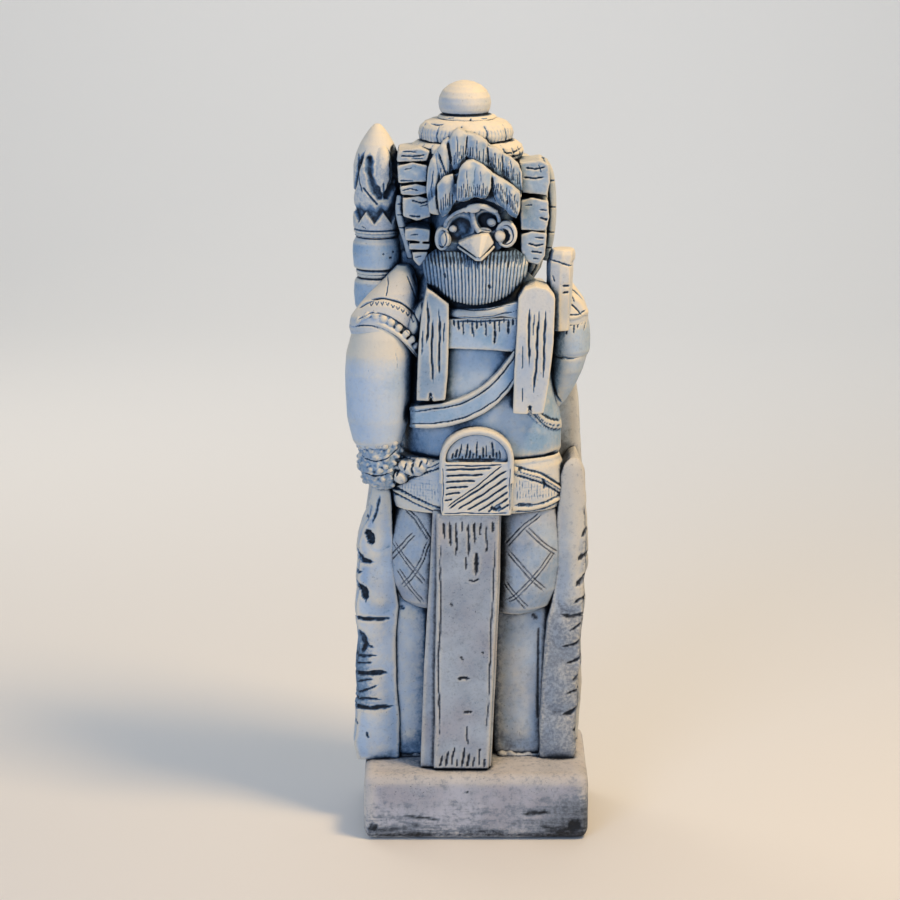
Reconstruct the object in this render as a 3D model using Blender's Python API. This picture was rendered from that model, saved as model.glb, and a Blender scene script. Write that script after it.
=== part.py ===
"""A cast-stone guardian figure on a plinth, as an assembly of its carved elements.

Frame: +Z up, the figure faces -Y, +X is the viewer's right. The origin is the centre of the
plinth's underside. Every length is written in millimetres and turned to metres by mm().
Neighbouring elements keep a joint of GAP between them.
"""

import math

import bmesh
import bpy
from mathutils import Matrix, Vector

# ---------------------------------------------------------------- driving dimensions, in mm
TOTAL_HEIGHT = 700.0
PLINTH_WIDTH = 210.0
PLINTH_DEPTH = 150.0
PLINTH_HEIGHT = 63.0
HIP_LINE = 215.0  # underside of the pelvis
WAIST_LINE = 312.0  # underside of the torso
NECK_LINE = 525.0  # top of the torso
CROWN_LINE = 628.0  # top of the head
TIER_LINE = 645.0  # joint between the crown's two tiers
FINIAL_LINE = 667.0  # top of the crown
GAP = 0.35  # joint between neighbouring elements
BACK_PLANE = 30.0  # the cape starts behind this plane
ROD_RADIUS = 4.0
ROD_CLEARANCE = 0.4
RING_SIDES = 20

STONE = ((0.62, 0.64, 0.64, 1.0), 0.85, 0.0)
STEEL = ((0.35, 0.33, 0.31, 1.0), 0.5, 1.0)


# each element's whole shape, before its neighbours are cut out of it
whole_shapes = {}


def mm(value):
    return value / 1000.0


def point(x, y, z):
    return Vector((mm(x), mm(y), mm(z)))


# ---------------------------------------------------------------- making and finishing objects
def clear_scene():
    for obj in list(bpy.data.objects):
        bpy.data.objects.remove(obj, do_unlink=True)


def material(name, finish):
    colour, roughness, metallic = finish
    made = bpy.data.materials.get(name) or bpy.data.materials.new(name)
    made.use_nodes = True
    shader = made.node_tree.nodes["Principled BSDF"]
    shader.inputs["Base Color"].default_value = colour
    shader.inputs["Roughness"].default_value = roughness
    shader.inputs["Metallic"].default_value = metallic
    made.diffuse_color = colour
    return made


def new_object(name, bm, finish=STONE):
    """The bmesh as an object with its own material, its normals pointing out."""
    bmesh.ops.recalc_face_normals(bm, faces=bm.faces)
    mesh = bpy.data.meshes.new(name)
    bm.to_mesh(mesh)
    bm.free()
    mesh.materials.append(material(name, finish))
    mesh.shade_smooth()
    mesh.set_sharp_from_angle(angle=math.radians(35))
    obj = bpy.data.objects.new(name, mesh)
    bpy.context.scene.collection.objects.link(obj)
    return remember(obj)


def remember(obj):
    """Keeps the object's present shape as the one its neighbours are cut back from."""
    whole_shapes[obj.name] = obj.data.copy()
    return obj


def settle(obj):
    """Makes the object's modifiers part of its mesh."""
    bpy.context.view_layer.update()
    graph = bpy.context.evaluated_depsgraph_get()
    mesh = bpy.data.meshes.new_from_object(obj.evaluated_get(graph), depsgraph=graph)
    old = obj.data
    obj.modifiers.clear()
    obj.data = mesh
    bpy.data.meshes.remove(old)
    return obj


def soften(obj, width, segments=1, angle=40):
    """Rounds the object's sharp edges."""
    bevel = obj.modifiers.new("soften", "BEVEL")
    bevel.width = mm(width)
    bevel.segments = segments
    bevel.limit_method = "ANGLE"
    bevel.angle_limit = math.radians(angle)
    return settle(obj)


def grown(obj, by):
    """The object's whole shape, larger by this many mm all round, to cut a joint with."""
    bm = bmesh.new()
    bm.from_mesh(whole_shapes[obj.name])
    bmesh.ops.remove_doubles(bm, verts=bm.verts, dist=mm(0.01))
    bmesh.ops.recalc_face_normals(bm, faces=bm.faces)
    bm.normal_update()
    moves = [(v, v.normal * min(v.calc_shell_factor(), 2.5) * mm(by)) for v in bm.verts]
    for vert, move in moves:
        vert.co += move
    mesh = bpy.data.meshes.new(obj.name + "_cutter")
    bm.to_mesh(mesh)
    bm.free()
    cutter = bpy.data.objects.new(obj.name + "_cutter", mesh)
    bpy.context.scene.collection.objects.link(cutter)
    cutter.hide_render = True
    cutter.display_type = "WIRE"
    return cutter


def boolean(obj, other, operation):
    cut = obj.modifiers.new(operation.lower(), "BOOLEAN")
    cut.object = other
    cut.operation = operation
    cut.solver = "EXACT"
    settle(obj)
    bpy.data.objects.remove(other, do_unlink=True)
    return obj


def fit(obj, *neighbours):
    """Cuts the object back from each neighbour, leaving the joint between them."""
    for neighbour in neighbours:
        boolean(obj, grown(neighbour, GAP), "DIFFERENCE")
    return keep_largest(obj)


def keep_largest(obj):
    """Drops the crumbs that a cut leaves beside the main body."""
    bm = bmesh.new()
    bm.from_mesh(obj.data)
    bmesh.ops.remove_doubles(bm, verts=bm.verts, dist=mm(0.02))
    bmesh.ops.dissolve_degenerate(bm, edges=bm.edges, dist=mm(0.02))
    left = set(bm.verts)
    bodies = []
    while left:
        body, edge = set(), [left.pop()]
        while edge:
            vert = edge.pop()
            body.add(vert)
            near = {e.other_vert(vert) for e in vert.link_edges} & left
            left -= near
            edge += near
        bodies.append(body)
    bodies.sort(key=len, reverse=True)
    for crumb in bodies[1:]:
        bmesh.ops.delete(bm, geom=list(crumb), context="VERTS")
    bm.to_mesh(obj.data)
    bm.free()
    return obj


# ---------------------------------------------------------------- shapes
def ring(bm, centre, across, along, half_across, half_along, power, sides):
    """A ring of vertices on a superellipse: power 2 is an ellipse, higher is squarer."""
    verts = []
    for i in range(sides):
        angle = 2 * math.pi * (i + 0.5) / sides
        c, s = math.cos(angle), math.sin(angle)
        u = math.copysign(abs(c) ** (2 / power), c) * half_across
        v = math.copysign(abs(s) ** (2 / power), s) * half_along
        verts.append(bm.verts.new(centre + across * mm(u) + along * mm(v)))
    return verts


def skin(bm, rings):
    """Joins rings of vertices into one closed body."""
    for low, high in zip(rings, rings[1:]):
        for i in range(len(low)):
            j = (i + 1) % len(low)
            bm.faces.new((low[i], low[j], high[j], high[i]))
    bm.faces.new(rings[0])
    bm.faces.new(rings[-1])


def column(name, sections, power=2.4, sides=RING_SIDES, finish=STONE):
    """An upright body through level sections: (z, x centre, y centre, half width, half depth)."""
    bm = bmesh.new()
    x_axis, y_axis = Vector((1, 0, 0)), Vector((0, 1, 0))
    rings = [
        ring(bm, point(x, y, z), x_axis, y_axis, half_x, half_y, power, sides)
        for z, x, y, half_x, half_y in sections
    ]
    skin(bm, rings)
    return new_object(name, bm, finish)


def limb(name, sections, power=2.2, sides=18):
    """A body through sections square to its path: ((x, y, z), half width, half depth)."""
    bm = bmesh.new()
    centres = [point(*where) for where, _, _ in sections]
    rings = []
    for i, (_, half_across, half_along) in enumerate(sections):
        before, after = centres[max(i - 1, 0)], centres[min(i + 1, len(centres) - 1)]
        forward = (after - before).normalized()
        across = Vector((0, 1, 0)).cross(forward).normalized()
        along = forward.cross(across)
        rings.append(ring(bm, centres[i], across, along, half_across, half_along, power, sides))
    skin(bm, rings)
    return new_object(name, bm)


def ball(name, centre, radii, segments=20, rings=12):
    bm = bmesh.new()
    bmesh.ops.create_uvsphere(bm, u_segments=segments, v_segments=rings, radius=1.0)
    bmesh.ops.scale(bm, verts=bm.verts, vec=[mm(r) for r in radii])
    bmesh.ops.translate(bm, verts=bm.verts, vec=point(*centre))
    return new_object(name, bm)


def plate(name, outline, front, back, rounding=0.0, lean=(0.0, 0.0)):
    """An upright plate: its outline is (x, z) points, extruded from y = front to y = back.
    lean moves the front face by (dy at the lowest point, dy at the highest point)."""
    bm = bmesh.new()
    lowest = min(z for _, z in outline)
    highest = max(z for _, z in outline)

    def front_at(z):
        share = (z - lowest) / (highest - lowest)
        return front + lean[0] * (1 - share) + lean[1] * share

    face = bm.faces.new([bm.verts.new(point(x, front_at(z), z)) for x, z in outline])
    grown_faces = bmesh.ops.extrude_face_region(bm, geom=[face])["geom"]
    for vert in (g for g in grown_faces if isinstance(g, bmesh.types.BMVert)):
        vert.co.y = mm(back)
    obj = new_object(name, bm)
    return soften(obj, rounding) if rounding else obj


def block(name, low, high, rounding=0.0, turn=0.0, finish=STONE):
    """A box between two corners, turned about its own upright axis by some degrees."""
    bm = bmesh.new()
    bmesh.ops.create_cube(bm, size=1.0)
    size = [mm(b - a) for a, b in zip(low, high)]
    bmesh.ops.scale(bm, verts=bm.verts, vec=size)
    bmesh.ops.rotate(bm, verts=bm.verts, matrix=Matrix.Rotation(math.radians(turn), 3, "Z"))
    middle = [(a + b) / 2 for a, b in zip(low, high)]
    bmesh.ops.translate(bm, verts=bm.verts, vec=point(*middle))
    obj = new_object(name, bm, finish)
    return soften(obj, rounding) if rounding else obj


def disc(name, centre, facing, radius, thickness, sides=24, rounding=1.5):
    """A round plate whose front faces along facing."""
    bm = bmesh.new()
    bmesh.ops.create_cone(
        bm, cap_ends=True, segments=sides, radius1=mm(radius), radius2=mm(radius), depth=mm(thickness)
    )
    turn = Vector(facing).normalized().to_track_quat("Z", "Y").to_matrix()
    bmesh.ops.rotate(bm, verts=bm.verts, matrix=turn)
    bmesh.ops.translate(bm, verts=bm.verts, vec=point(*centre))
    return soften(new_object(name, bm), rounding)


def arc(centre, radii, start, end, steps):
    """Points (x, z) along an elliptical arc, angles in degrees from +X."""
    found = []
    for i in range(steps + 1):
        angle = math.radians(start + (end - start) * i / steps)
        x = centre[0] + radii[0] * math.cos(angle)
        z = centre[1] + radii[1] * math.sin(angle)
        found.append((x, z))
    return found


def band(name, centre_line, half_width, front, back, rounding=0.0):
    """A plate that follows a line of (x, z) points at a constant half width."""
    upper, lower = [], []
    for i, (x, z) in enumerate(centre_line):
        before = Vector(centre_line[max(i - 1, 0)])
        after = Vector(centre_line[min(i + 1, len(centre_line) - 1)])
        along = (after - before).normalized()
        side = Vector((-along.y, along.x)) * half_width
        upper.append((x + side.x, z + side.y))
        lower.append((x - side.x, z - side.y))
    return plate(name, upper + lower[::-1], front, back, rounding)


def rod(name, x, y, low, high, finish=STEEL):
    bm = bmesh.new()
    bmesh.ops.create_cone(
        bm, cap_ends=True, segments=12, radius1=mm(ROD_RADIUS), radius2=mm(ROD_RADIUS), depth=mm(high - low)
    )
    bmesh.ops.translate(bm, verts=bm.verts, vec=point(x, y, (low + high) / 2))
    return new_object(name, bm, finish)


def drill(obj, x, y, low, high):
    """A bore for a rod, between two heights."""
    bm = bmesh.new()
    radius = mm(ROD_RADIUS + ROD_CLEARANCE)
    bmesh.ops.create_cone(
        bm, cap_ends=True, segments=16, radius1=radius, radius2=radius, depth=mm(high - low)
    )
    bmesh.ops.translate(bm, verts=bm.verts, vec=point(x, y, (low + high) / 2))
    cutter = new_object(obj.name + "_bore", bm)
    cutter.hide_render = True
    return boolean(obj, cutter, "DIFFERENCE")


# ---------------------------------------------------------------- plinth, core and rods
def make_core():
    half_x, half_y = PLINTH_WIDTH / 2, PLINTH_DEPTH / 2
    plinth = block("plinth", (-half_x, -half_y, 0), (half_x, half_y, PLINTH_HEIGHT))
    bm = bmesh.new()
    bm.from_mesh(plinth.data)
    upright = [e for e in bm.edges if abs(e.verts[0].co.z - e.verts[1].co.z) > mm(10)]
    bmesh.ops.bevel(bm, geom=upright, offset=mm(5), segments=2, profile=0.5, affect="EDGES")
    top = [e for e in bm.edges if all(v.co.z > mm(PLINTH_HEIGHT - 0.1) for v in e.verts)]
    bmesh.ops.bevel(bm, geom=top, offset=mm(3), segments=1, profile=0.5, affect="EDGES")
    bm.to_mesh(plinth.data)
    bm.free()
    core = block("core_post", (-44, -26, PLINTH_HEIGHT + GAP), (22, BACK_PLANE, HIP_LINE))
    pelvis = block("pelvis", (-24, -34, HIP_LINE - 10), (28, BACK_PLANE - 1, WAIST_LINE - GAP))
    remember(boolean(core, pelvis, "UNION"))
    torso = column(
        "torso",
        [
            (WAIST_LINE, 2, -1, 68, 37),
            (345, 3, -2, 70, 39),
            (362, 4, -3, 74, 42),
            (390, 5, -4, 75, 45),
            (420, 5, -4, 75, 45),
            (450, 3, -2, 76, 43),
            (480, 2, 0, 74, 40),
            (505, 2, 2, 62, 35),
            (NECK_LINE, 2, 4, 42, 28),
        ],
    )
    head = column(
        "head",
        [
            (NECK_LINE + GAP, 1, -4, 33, 34),
            (545, 1, -6, 37, 37),
            (600, 0, -6, 38, 38),
            (CROWN_LINE - 4, -3, -4, 38, 34),
            (CROWN_LINE, -4, -3, 37, 33),
        ],
    )
    return plinth, core, torso, head


def make_rods(plinth, core, torso, head):
    """Two bars stand in the plinth: one reaches the chest, the other pins the head as well."""
    rod("core_rod_left", -16, 4, 20, 440)
    drill(torso, -16, 4, WAIST_LINE - 5, 441)
    rod("core_rod_right", 14, 4, 20, 600)
    drill(torso, 14, 4, WAIST_LINE - 5, NECK_LINE + 5)
    drill(head, 14, 4, NECK_LINE - 5, 601)
    for x in (-16, 14):
        drill(plinth, x, 4, 19, PLINTH_HEIGHT + 5)
        drill(core, x, 4, PLINTH_HEIGHT - 5, WAIST_LINE + 5)


# ---------------------------------------------------------------- legs, hips, cape and pillars
def make_lower_body(core, torso):
    base = PLINTH_HEIGHT + GAP
    hips = {
        "left": ball("hip_left", (-42, -6, 263), (41, 38, 50)),
        "right": ball("hip_right", (38, -6, 258), (40, 38, 51)),
    }
    for hip in hips.values():
        fit(hip, core, torso)
        slice_behind(hip, BACK_PLANE - GAP)
    legs = {
        "left": column(
            "leg_left",
            [(base, -62, 8, 13, 19), (110, -61, 8, 15, 20), (180, -60, 8, 16, 20)]
            + [(232, -58, 8, 15, 20)],
            sides=16,
        ),
        "right": column(
            "leg_right",
            [(base, 42, 8, 19, 19), (110, 43, 8, 19, 20), (180, 44, 8, 18.5, 20)]
            + [(229, 44.6, 8, 16, 19.5)],
            sides=16,
        ),
    }
    fit(legs["left"], hips["left"], core)
    fit(legs["right"], hips["right"], core)
    cape = column(
        "cape",
        [
            (base, -3, 48, 103, 17.5),
            (150, -5, 48, 106, 17.5),
            (245, -5, 48, 107, 17.5),
            (300, -3, 48, 98, 17.5),
            (362, 1, 48, 83, 17.5),
            (440, 1, 48, 74, 17.5),
            (508, 1, 48, 64, 17.5),
        ],
        power=6,
        sides=28,
    )
    fit(cape, torso)
    pillars = {}
    for side, levels in (
        (
            "left",
            [
                (base, -91, 2, 20, 27),
                (112, -93, 2, 20, 27),
                (116, -93, 2, 19, 26),
                (120, -93, 2, 20, 27),
                (200, -96, 2, 18, 26),
                (204, -96, 2, 17, 25),
                (208, -97, 2, 18, 26),
                (250, -99, 2, 17, 25),
                (290, -97, 2, 14, 23),
                (318, -90, 4, 10, 18),
            ],
        ),
        (
            "right",
            [
                (base, 79, 2, 18, 27),
                (112, 81, 2, 19, 27),
                (116, 81, 2, 18, 26),
                (120, 81, 2, 19, 27),
                (200, 84, 2, 19, 26),
                (204, 84, 2, 18, 25),
                (208, 85, 2, 19, 26),
                (250, 87, 2, 16, 25),
                (300, 86, 4, 12, 22),
                (355, 84, 8, 8, 16),
            ],
        ),
    ):
        pillars[side] = column(f"pillar_{side}", levels, power=4.5, sides=16)
        fit(pillars[side], legs[side], hips[side], core, torso)
    return hips, cape, pillars


def slice_behind(obj, plane):
    """Removes what lies behind an upright plane and closes the cut."""
    bm = bmesh.new()
    bm.from_mesh(obj.data)
    geometry = bm.verts[:] + bm.edges[:] + bm.faces[:]
    bmesh.ops.bisect_plane(
        bm, geom=geometry, plane_co=point(0, plane, 0), plane_no=(0, 1, 0), clear_outer=True
    )
    bmesh.ops.holes_fill(bm, edges=[e for e in bm.edges if e.is_boundary])
    bmesh.ops.recalc_face_normals(bm, faces=bm.faces)
    bm.to_mesh(obj.data)
    bm.free()


# ---------------------------------------------------------------- belt, buckle and apron
def make_belt(torso, core, hips, pillars):
    belt = column(
        "belt",
        [(307, 0, -1, 75, 44), (311, 0, -1, 79, 47), (354, 1, -2, 80, 48), (359, 1, -2, 76, 45)],
        power=2.6,
        sides=28,
    )
    slice_behind(belt, BACK_PLANE - GAP)
    for line in ([(-75, 336), (-55, 347), (-34, 356)], [(37, 352), (58, 343), (72, 332)]):
        boolean(belt, band("strap", line, 2.8, -56, -30), "UNION")
    remember(belt)
    fit(belt, torso, core)
    for hip in hips.values():
        fit(hip, belt)
    for pillar in pillars.values():
        fit(pillar, belt)
    outline = [(-31, 312), (34, 310), (34.5, 362)] + arc((1.5, 362), (33, 31), 8, 172, 12)
    outline += [(-31.5, 362)]
    buckle = plate("buckle_plate", outline, -62, -36, 2.0)
    fit(buckle, belt, torso, core)
    fan = plate("buckle_fan", [(-22, 366), (25, 366)] + arc((1.5, 366), (23, 21), 10, 170, 8), -64.5, -58)
    fit(fan, buckle)
    apron = plate(
        "apron",
        [(-47, 64), (14, 64), (22, 190), (28, 306), (-35, 306), (-38, 190)],
        -54,
        -30,
        2.5,
        lean=(2.0, -6.0),
    )
    fit(apron, belt, core, buckle, torso)
    for hip in hips.values():
        fit(hip, apron)
    return belt


# ---------------------------------------------------------------- head, headdress and face
def make_headdress(head, torso, cape):
    """Everything on the head, from the back mass to the crown's ball."""
    back = column(
        "headdress_back",
        [
            (512, 2, 28, 58, 26),
            (540, 2, 27, 68, 29),
            (590, 1, 26, 70, 31),
            (616, -2, 26, 64, 29),
            (CROWN_LINE, -3, 26, 56, 26),
        ],
        power=3,
    )
    fit(back, head, torso, cape)
    tier_two = column(
        "crown_tier_lower",
        [(CROWN_LINE + GAP, -6, 0, 48, 40), (634, -5, 0, 51, 43), (TIER_LINE, -5, 0, 49, 41)],
    )
    tier_one = column(
        "crown_tier_upper",
        [(TIER_LINE + GAP, -9, 0, 40, 36), (652, -9, 0, 43.5, 38), (661, -9, 0, 42, 37)]
        + [(FINIAL_LINE, -9, 0, 33, 30)],
    )
    finial = column(
        "finial",
        [
            (FINIAL_LINE + GAP, -10, 0, 27, 27),
            (671, -10, 0, 27, 27),
            (671.5, -10, 0, 21.5, 21.5),
            (676, -10, 0, 23, 23),
            (683, -10, 0, 23, 23),
            (690, -10, 0, 19.5, 19.5),
            (696, -10, 0, 13, 13),
            (TOTAL_HEIGHT, -10, 0, 4, 4),
        ],
        power=2,
        sides=20,
    )
    blocks = []
    left_levels = [(631, 645, -66, -36), (610, 631, -72, -36), (601, 610, -71, -36)]
    left_levels += [(576, 601, -71, -36), (533, 569, -68, -38)]
    right_levels = [(603, 632, 43, 68), (569, 598, 43, 69), (536, 567, 43, 66)]
    for side, levels in (("left", left_levels), ("right", right_levels)):
        for number, (low, high, x_low, x_high) in enumerate(levels, 1):
            flap = block(
                f"flap_{side}_{number}", (x_low, -35, low), (x_high, 6, high - GAP), rounding=3.0
            )
            fit(flap, back, head, tier_two)
            blocks.append(flap)
    return back, tier_two, tier_one, blocks


def make_face(head, blocks, tiers):
    crest_upper = plate(
        "crest_upper",
        [(-43, 584), (-33, 606), (-13, 636), (0, 640), (12, 632), (38, 602), (43, 606)]
        + [(43, 626), (26, 650), (2, 660), (-10, 664), (-20, 657), (-36, 636), (-43, 610)],
        -51,
        -36,
        2.0,
    )
    fit(crest_upper, head, *tiers)
    crest_lower = plate(
        "crest_lower",
        [(-33, 584), (-14, 592), (0, 597), (18, 592), (28, 582), (40, 584), (42, 606)]
        + [(18, 624), (-1, 634), (-13, 628), (-16, 616), (-31, 612)],
        -63,
        -36,
        2.0,
    )
    fit(crest_lower, head, crest_upper, *tiers)
    face = ball("face_mask", (-1, -34, 570), (29, 20, 29), segments=20, rings=12)
    for eye_centre in ((-20, -47, 570), (15, -49, 576)):
        boolean(face, ball("eye", eye_centre, (4.5, 4.5, 4.5), 12, 8), "UNION")
    remember(face)
    fit(face, head, crest_lower, crest_upper)
    brow = band("brow", [(-28, 574), (-22, 587), (-3, 594), (14, 590), (23, 581)], 3.0, -58, -40, 1.0)
    fit(brow, head, face, crest_lower)
    beak = beak_shape()
    fit(beak, head, face)
    ears = [
        disc("ear_disc_left", (-31, -45, 561), (-0.62, -0.78, 0.05), 12.0, 9.0),
        disc("ear_disc_right", (27, -50, 563), (0.2, -0.98, 0.05), 13.0, 10.0),
    ]
    for ear in ears:
        fit(ear, head, face, brow, crest_lower, crest_upper, beak, *blocks)
    return [crest_upper, crest_lower, face, brow, beak, *ears]


def beak_shape():
    """A short four-sided beak: its root is a kite on the face and its tip points down and out."""
    bm = bmesh.new()
    root = [(-19, -44, 557), (0, -46, 573), (19, -44, 559), (2, -44, 546)]
    back = [(-15, -36, 557), (0, -36, 569), (15, -36, 559), (2, -36, 549)]
    tip = bm.verts.new(point(3, -74, 552))
    low = [bm.verts.new(point(*p)) for p in root]
    inner = [bm.verts.new(point(*p)) for p in back]
    for i in range(4):
        j = (i + 1) % 4
        bm.faces.new((low[i], low[j], tip))
        bm.faces.new((low[i], inner[i], inner[j], low[j]))
    bm.faces.new(inner)
    return new_object("beak", bm)


def make_chest(torso, head, face_parts, blocks):
    beard = column(
        "beard",
        [
            (502, 3, -40, 17, 20),
            (508, 2, -38, 33, 25),
            (518, 1, -37, 43, 27),
            (532, 1, -35, 48, 26),
            (546, 1, -33, 46, 22),
        ],
        power=2.2,
    )
    fit(beard, head, torso, *face_parts, *blocks)
    lappets = [
        plate(
            "lappet_left",
            [(-54, 417), (-27, 416), (-24, 470), (-23, 506), (-28, 520), (-44, 522)]
            + [(-50, 506), (-52, 470)],
            -57,
            -20,
            3.0,
        ),
        plate(
            "lappet_right",
            [(35, 406), (64, 404), (69, 460), (71, 505), (66, 519), (46, 520), (38, 506), (37, 460)],
            -60,
            -20,
            3.0,
        ),
    ]
    for lappet in lappets:
        fit(lappet, torso, head, beard, *blocks)
    collar = band("collar_roll", [(-22, 493), (8, 492), (37, 496)], 4.5, -53, -25, 2.0)
    fringe = plate("chest_fringe", [(-23, 462), (36, 461), (36, 490), (8, 487), (-22, 488)], -51, -25, 1.5)
    fit(collar, torso, beard, *lappets)
    fit(fringe, torso, collar, beard, *lappets)
    line = [(-66, 398), (-50, 396), (-28, 397), (-5, 403), (14, 413), (28, 427), (37, 440)]
    sash = band("sash", line, 8.5, -55, -20, 1.5)
    fit(sash, torso, *lappets, fringe)
    tail = band("sash_end", [(58, 402), (68, 393), (78, 387), (84, 385)], 3.0, -46, -5, 1.0)
    fit(tail, torso, *lappets)
    return [beard, *lappets, collar, fringe, sash, tail]


# ---------------------------------------------------------------- arms, baton and mace
def make_arms(torso, belt_parts, chest_parts, blocks, back, pillars, cape):
    near = [torso, *chest_parts, *blocks, back, cape]
    forearm = limb(
        "forearm_left",
        [
            ((-84, -26, 478), 20, 19),
            ((-86, -29, 462), 30, 27),
            ((-88, -30, 440), 33, 30),
            ((-89, -30, 412), 32, 29),
            ((-89, -30, 388), 27, 26),
            ((-88, -30, 368), 21, 22),
        ],
    )
    fit(forearm, torso, *chest_parts, cape)
    armlet = limb(
        "armlet_left",
        [((-86, -24, 473), 31, 27), ((-81, -22, 487), 32, 29), ((-77, -19, 499), 29, 27)],
    )
    shoulder = limb(
        "shoulder_left",
        [((-76, -18, 495), 29, 28), ((-69, -15, 508), 24, 25), ((-61, -12, 522), 15, 20)]
        + [((-56, -10, 533), 8, 13)],
    )
    fit(shoulder, *near)
    fit(armlet, shoulder, forearm, *near)
    cuff = limb(
        "wrist_cuff_left",
        [((-87, -31, 374), 22, 23), ((-87, -31, 360), 23, 24), ((-84, -32, 344), 19, 22)]
        + [((-80, -33, 334), 13, 17)],
    )
    fit(cuff, forearm, torso, *belt_parts, pillars["left"], cape)
    hand = ball("hand_left", (-66, -43, 346), (14, 12, 10), 14, 8)
    fit(hand, cuff, forearm, torso, *belt_parts)
    baton = limb(
        "baton",
        [((70, -26, 478), 6, 8), ((74, -25, 505), 9, 10), ((76, -24, 530), 11.5, 12)]
        + [((77, -23, 540), 11.5, 12), ((77, -23, 547), 8, 8)],
    )
    fit(baton, *near)
    sleeve = limb(
        "sleeve_right",
        [((74, -6, 516), 13, 18), ((81, -8, 503), 17, 24), ((84, -8, 483), 19, 26)],
    )
    fit(sleeve, *near, baton)
    puff = limb(
        "sleeve_puff_right",
        [((83, -8, 482), 19, 26), ((84, -9, 468), 21, 28), ((82, -9, 452), 18, 25)],
    )
    fit(puff, *near, baton, sleeve)
    elbow = limb(
        "elbow_right",
        [((81, -8, 451), 17, 24), ((80, -8, 434), 14, 22), ((76, -7, 415), 9, 16)]
        + [((74, -7, 403), 5, 10)],
    )
    fit(elbow, *near, puff)
    return shoulder, armlet


def make_mace(shoulder, armlet, near):
    """The staff behind the left shoulder: two barrels under a bud-shaped head."""
    x, y = -89, 0
    bud = [(562, 18), (567, 18), (568, 20), (582, 22), (610, 22.5), (632, 19), (648, 11), (658, 3)]
    upper = [(522, 18), (526, 18), (527, 21), (532, 23), (557, 23), (562 - GAP, 20)]
    lower = [(490, 15), (497, 20), (516, 22), (522 - GAP, 20)]
    for name, levels in (("mace_bud", bud), ("mace_barrel_upper", upper), ("mace_barrel_lower", lower)):
        part = column(name, [(z, x, y, r, r) for z, r in levels], power=2.1, sides=18)
        fit(part, shoulder, armlet, *near)


def main():
    clear_scene()
    plinth, core, torso, head = make_core()
    make_rods(plinth, core, torso, head)
    hips, cape, pillars = make_lower_body(core, torso)
    belt = make_belt(torso, core, hips, pillars)
    back, tier_two, tier_one, blocks = make_headdress(head, torso, cape)
    face_parts = make_face(head, blocks, [tier_two, tier_one])
    chest = make_chest(torso, head, face_parts, blocks)
    shoulder, armlet = make_arms(torso, [belt, hips["left"]], chest, blocks, back, pillars, cape)
    make_mace(shoulder, armlet, [torso, back, *blocks, cape])
    bpy.context.view_layer.update()


main()
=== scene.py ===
# Looks of the cast-stone guardian figure, built piece by piece from the plinth up.
# The figure faces -Y and +X is the viewer's right. Left and right in names are the viewer's.
# Places are in mm until mm() turns them into Blender's metres.
import math

import bpy
import numpy as np
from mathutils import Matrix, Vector


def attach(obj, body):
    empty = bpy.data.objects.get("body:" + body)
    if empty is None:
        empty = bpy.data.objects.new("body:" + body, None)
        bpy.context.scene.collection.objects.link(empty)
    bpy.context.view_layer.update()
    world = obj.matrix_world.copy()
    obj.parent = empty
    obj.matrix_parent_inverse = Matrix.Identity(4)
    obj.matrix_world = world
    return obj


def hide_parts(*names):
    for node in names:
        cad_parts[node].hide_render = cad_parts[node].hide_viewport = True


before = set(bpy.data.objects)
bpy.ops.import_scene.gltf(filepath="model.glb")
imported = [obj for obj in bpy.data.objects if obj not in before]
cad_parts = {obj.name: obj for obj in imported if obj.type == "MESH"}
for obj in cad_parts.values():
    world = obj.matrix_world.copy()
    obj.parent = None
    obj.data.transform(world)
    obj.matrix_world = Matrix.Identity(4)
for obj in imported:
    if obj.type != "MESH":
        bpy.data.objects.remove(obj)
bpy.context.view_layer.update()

# ---------------------------------------------------------------- studio
# A plain pale floor that curves up into a backdrop, a warm lamp above and to the right, and a
# large cool lamp in front. The camera stands 2.7 m away at 1 m, tilted down to the figure.
FLOOR_SIZE = 8.0  # m
WALL_HEIGHT = 5.0
BEND_RADIUS = 1.6  # where the floor curves up
TILT_DOWN = 13.4  # degrees, of the camera


def linear(hex_colour):
    """A colour written as sRGB hex, as linear RGBA."""
    parts = [int(hex_colour[i : i + 2], 16) / 255 for i in (1, 3, 5)]
    return [p / 12.92 if p <= 0.04045 else ((p + 0.055) / 1.055) ** 2.4 for p in parts] + [1.0]


def add_node(tree, kind, links=None, **settings):
    """Adds a shader node. Settings name its properties or inputs; links feed its inputs."""
    node = tree.nodes.new(kind)
    for key, value in settings.items():
        if key.startswith("in_"):
            node.inputs[int(key[3:])].default_value = value
        else:
            setattr(node, key, value)
    for socket, source in (links or {}).items():
        tree.links.new(source, node.inputs[socket])
    return node


def only(obj):
    """Selects this object alone and makes it the active one."""
    bpy.ops.object.select_all(action="DESELECT")
    obj.select_set(True)
    bpy.context.view_layer.objects.active = obj
    return obj


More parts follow.
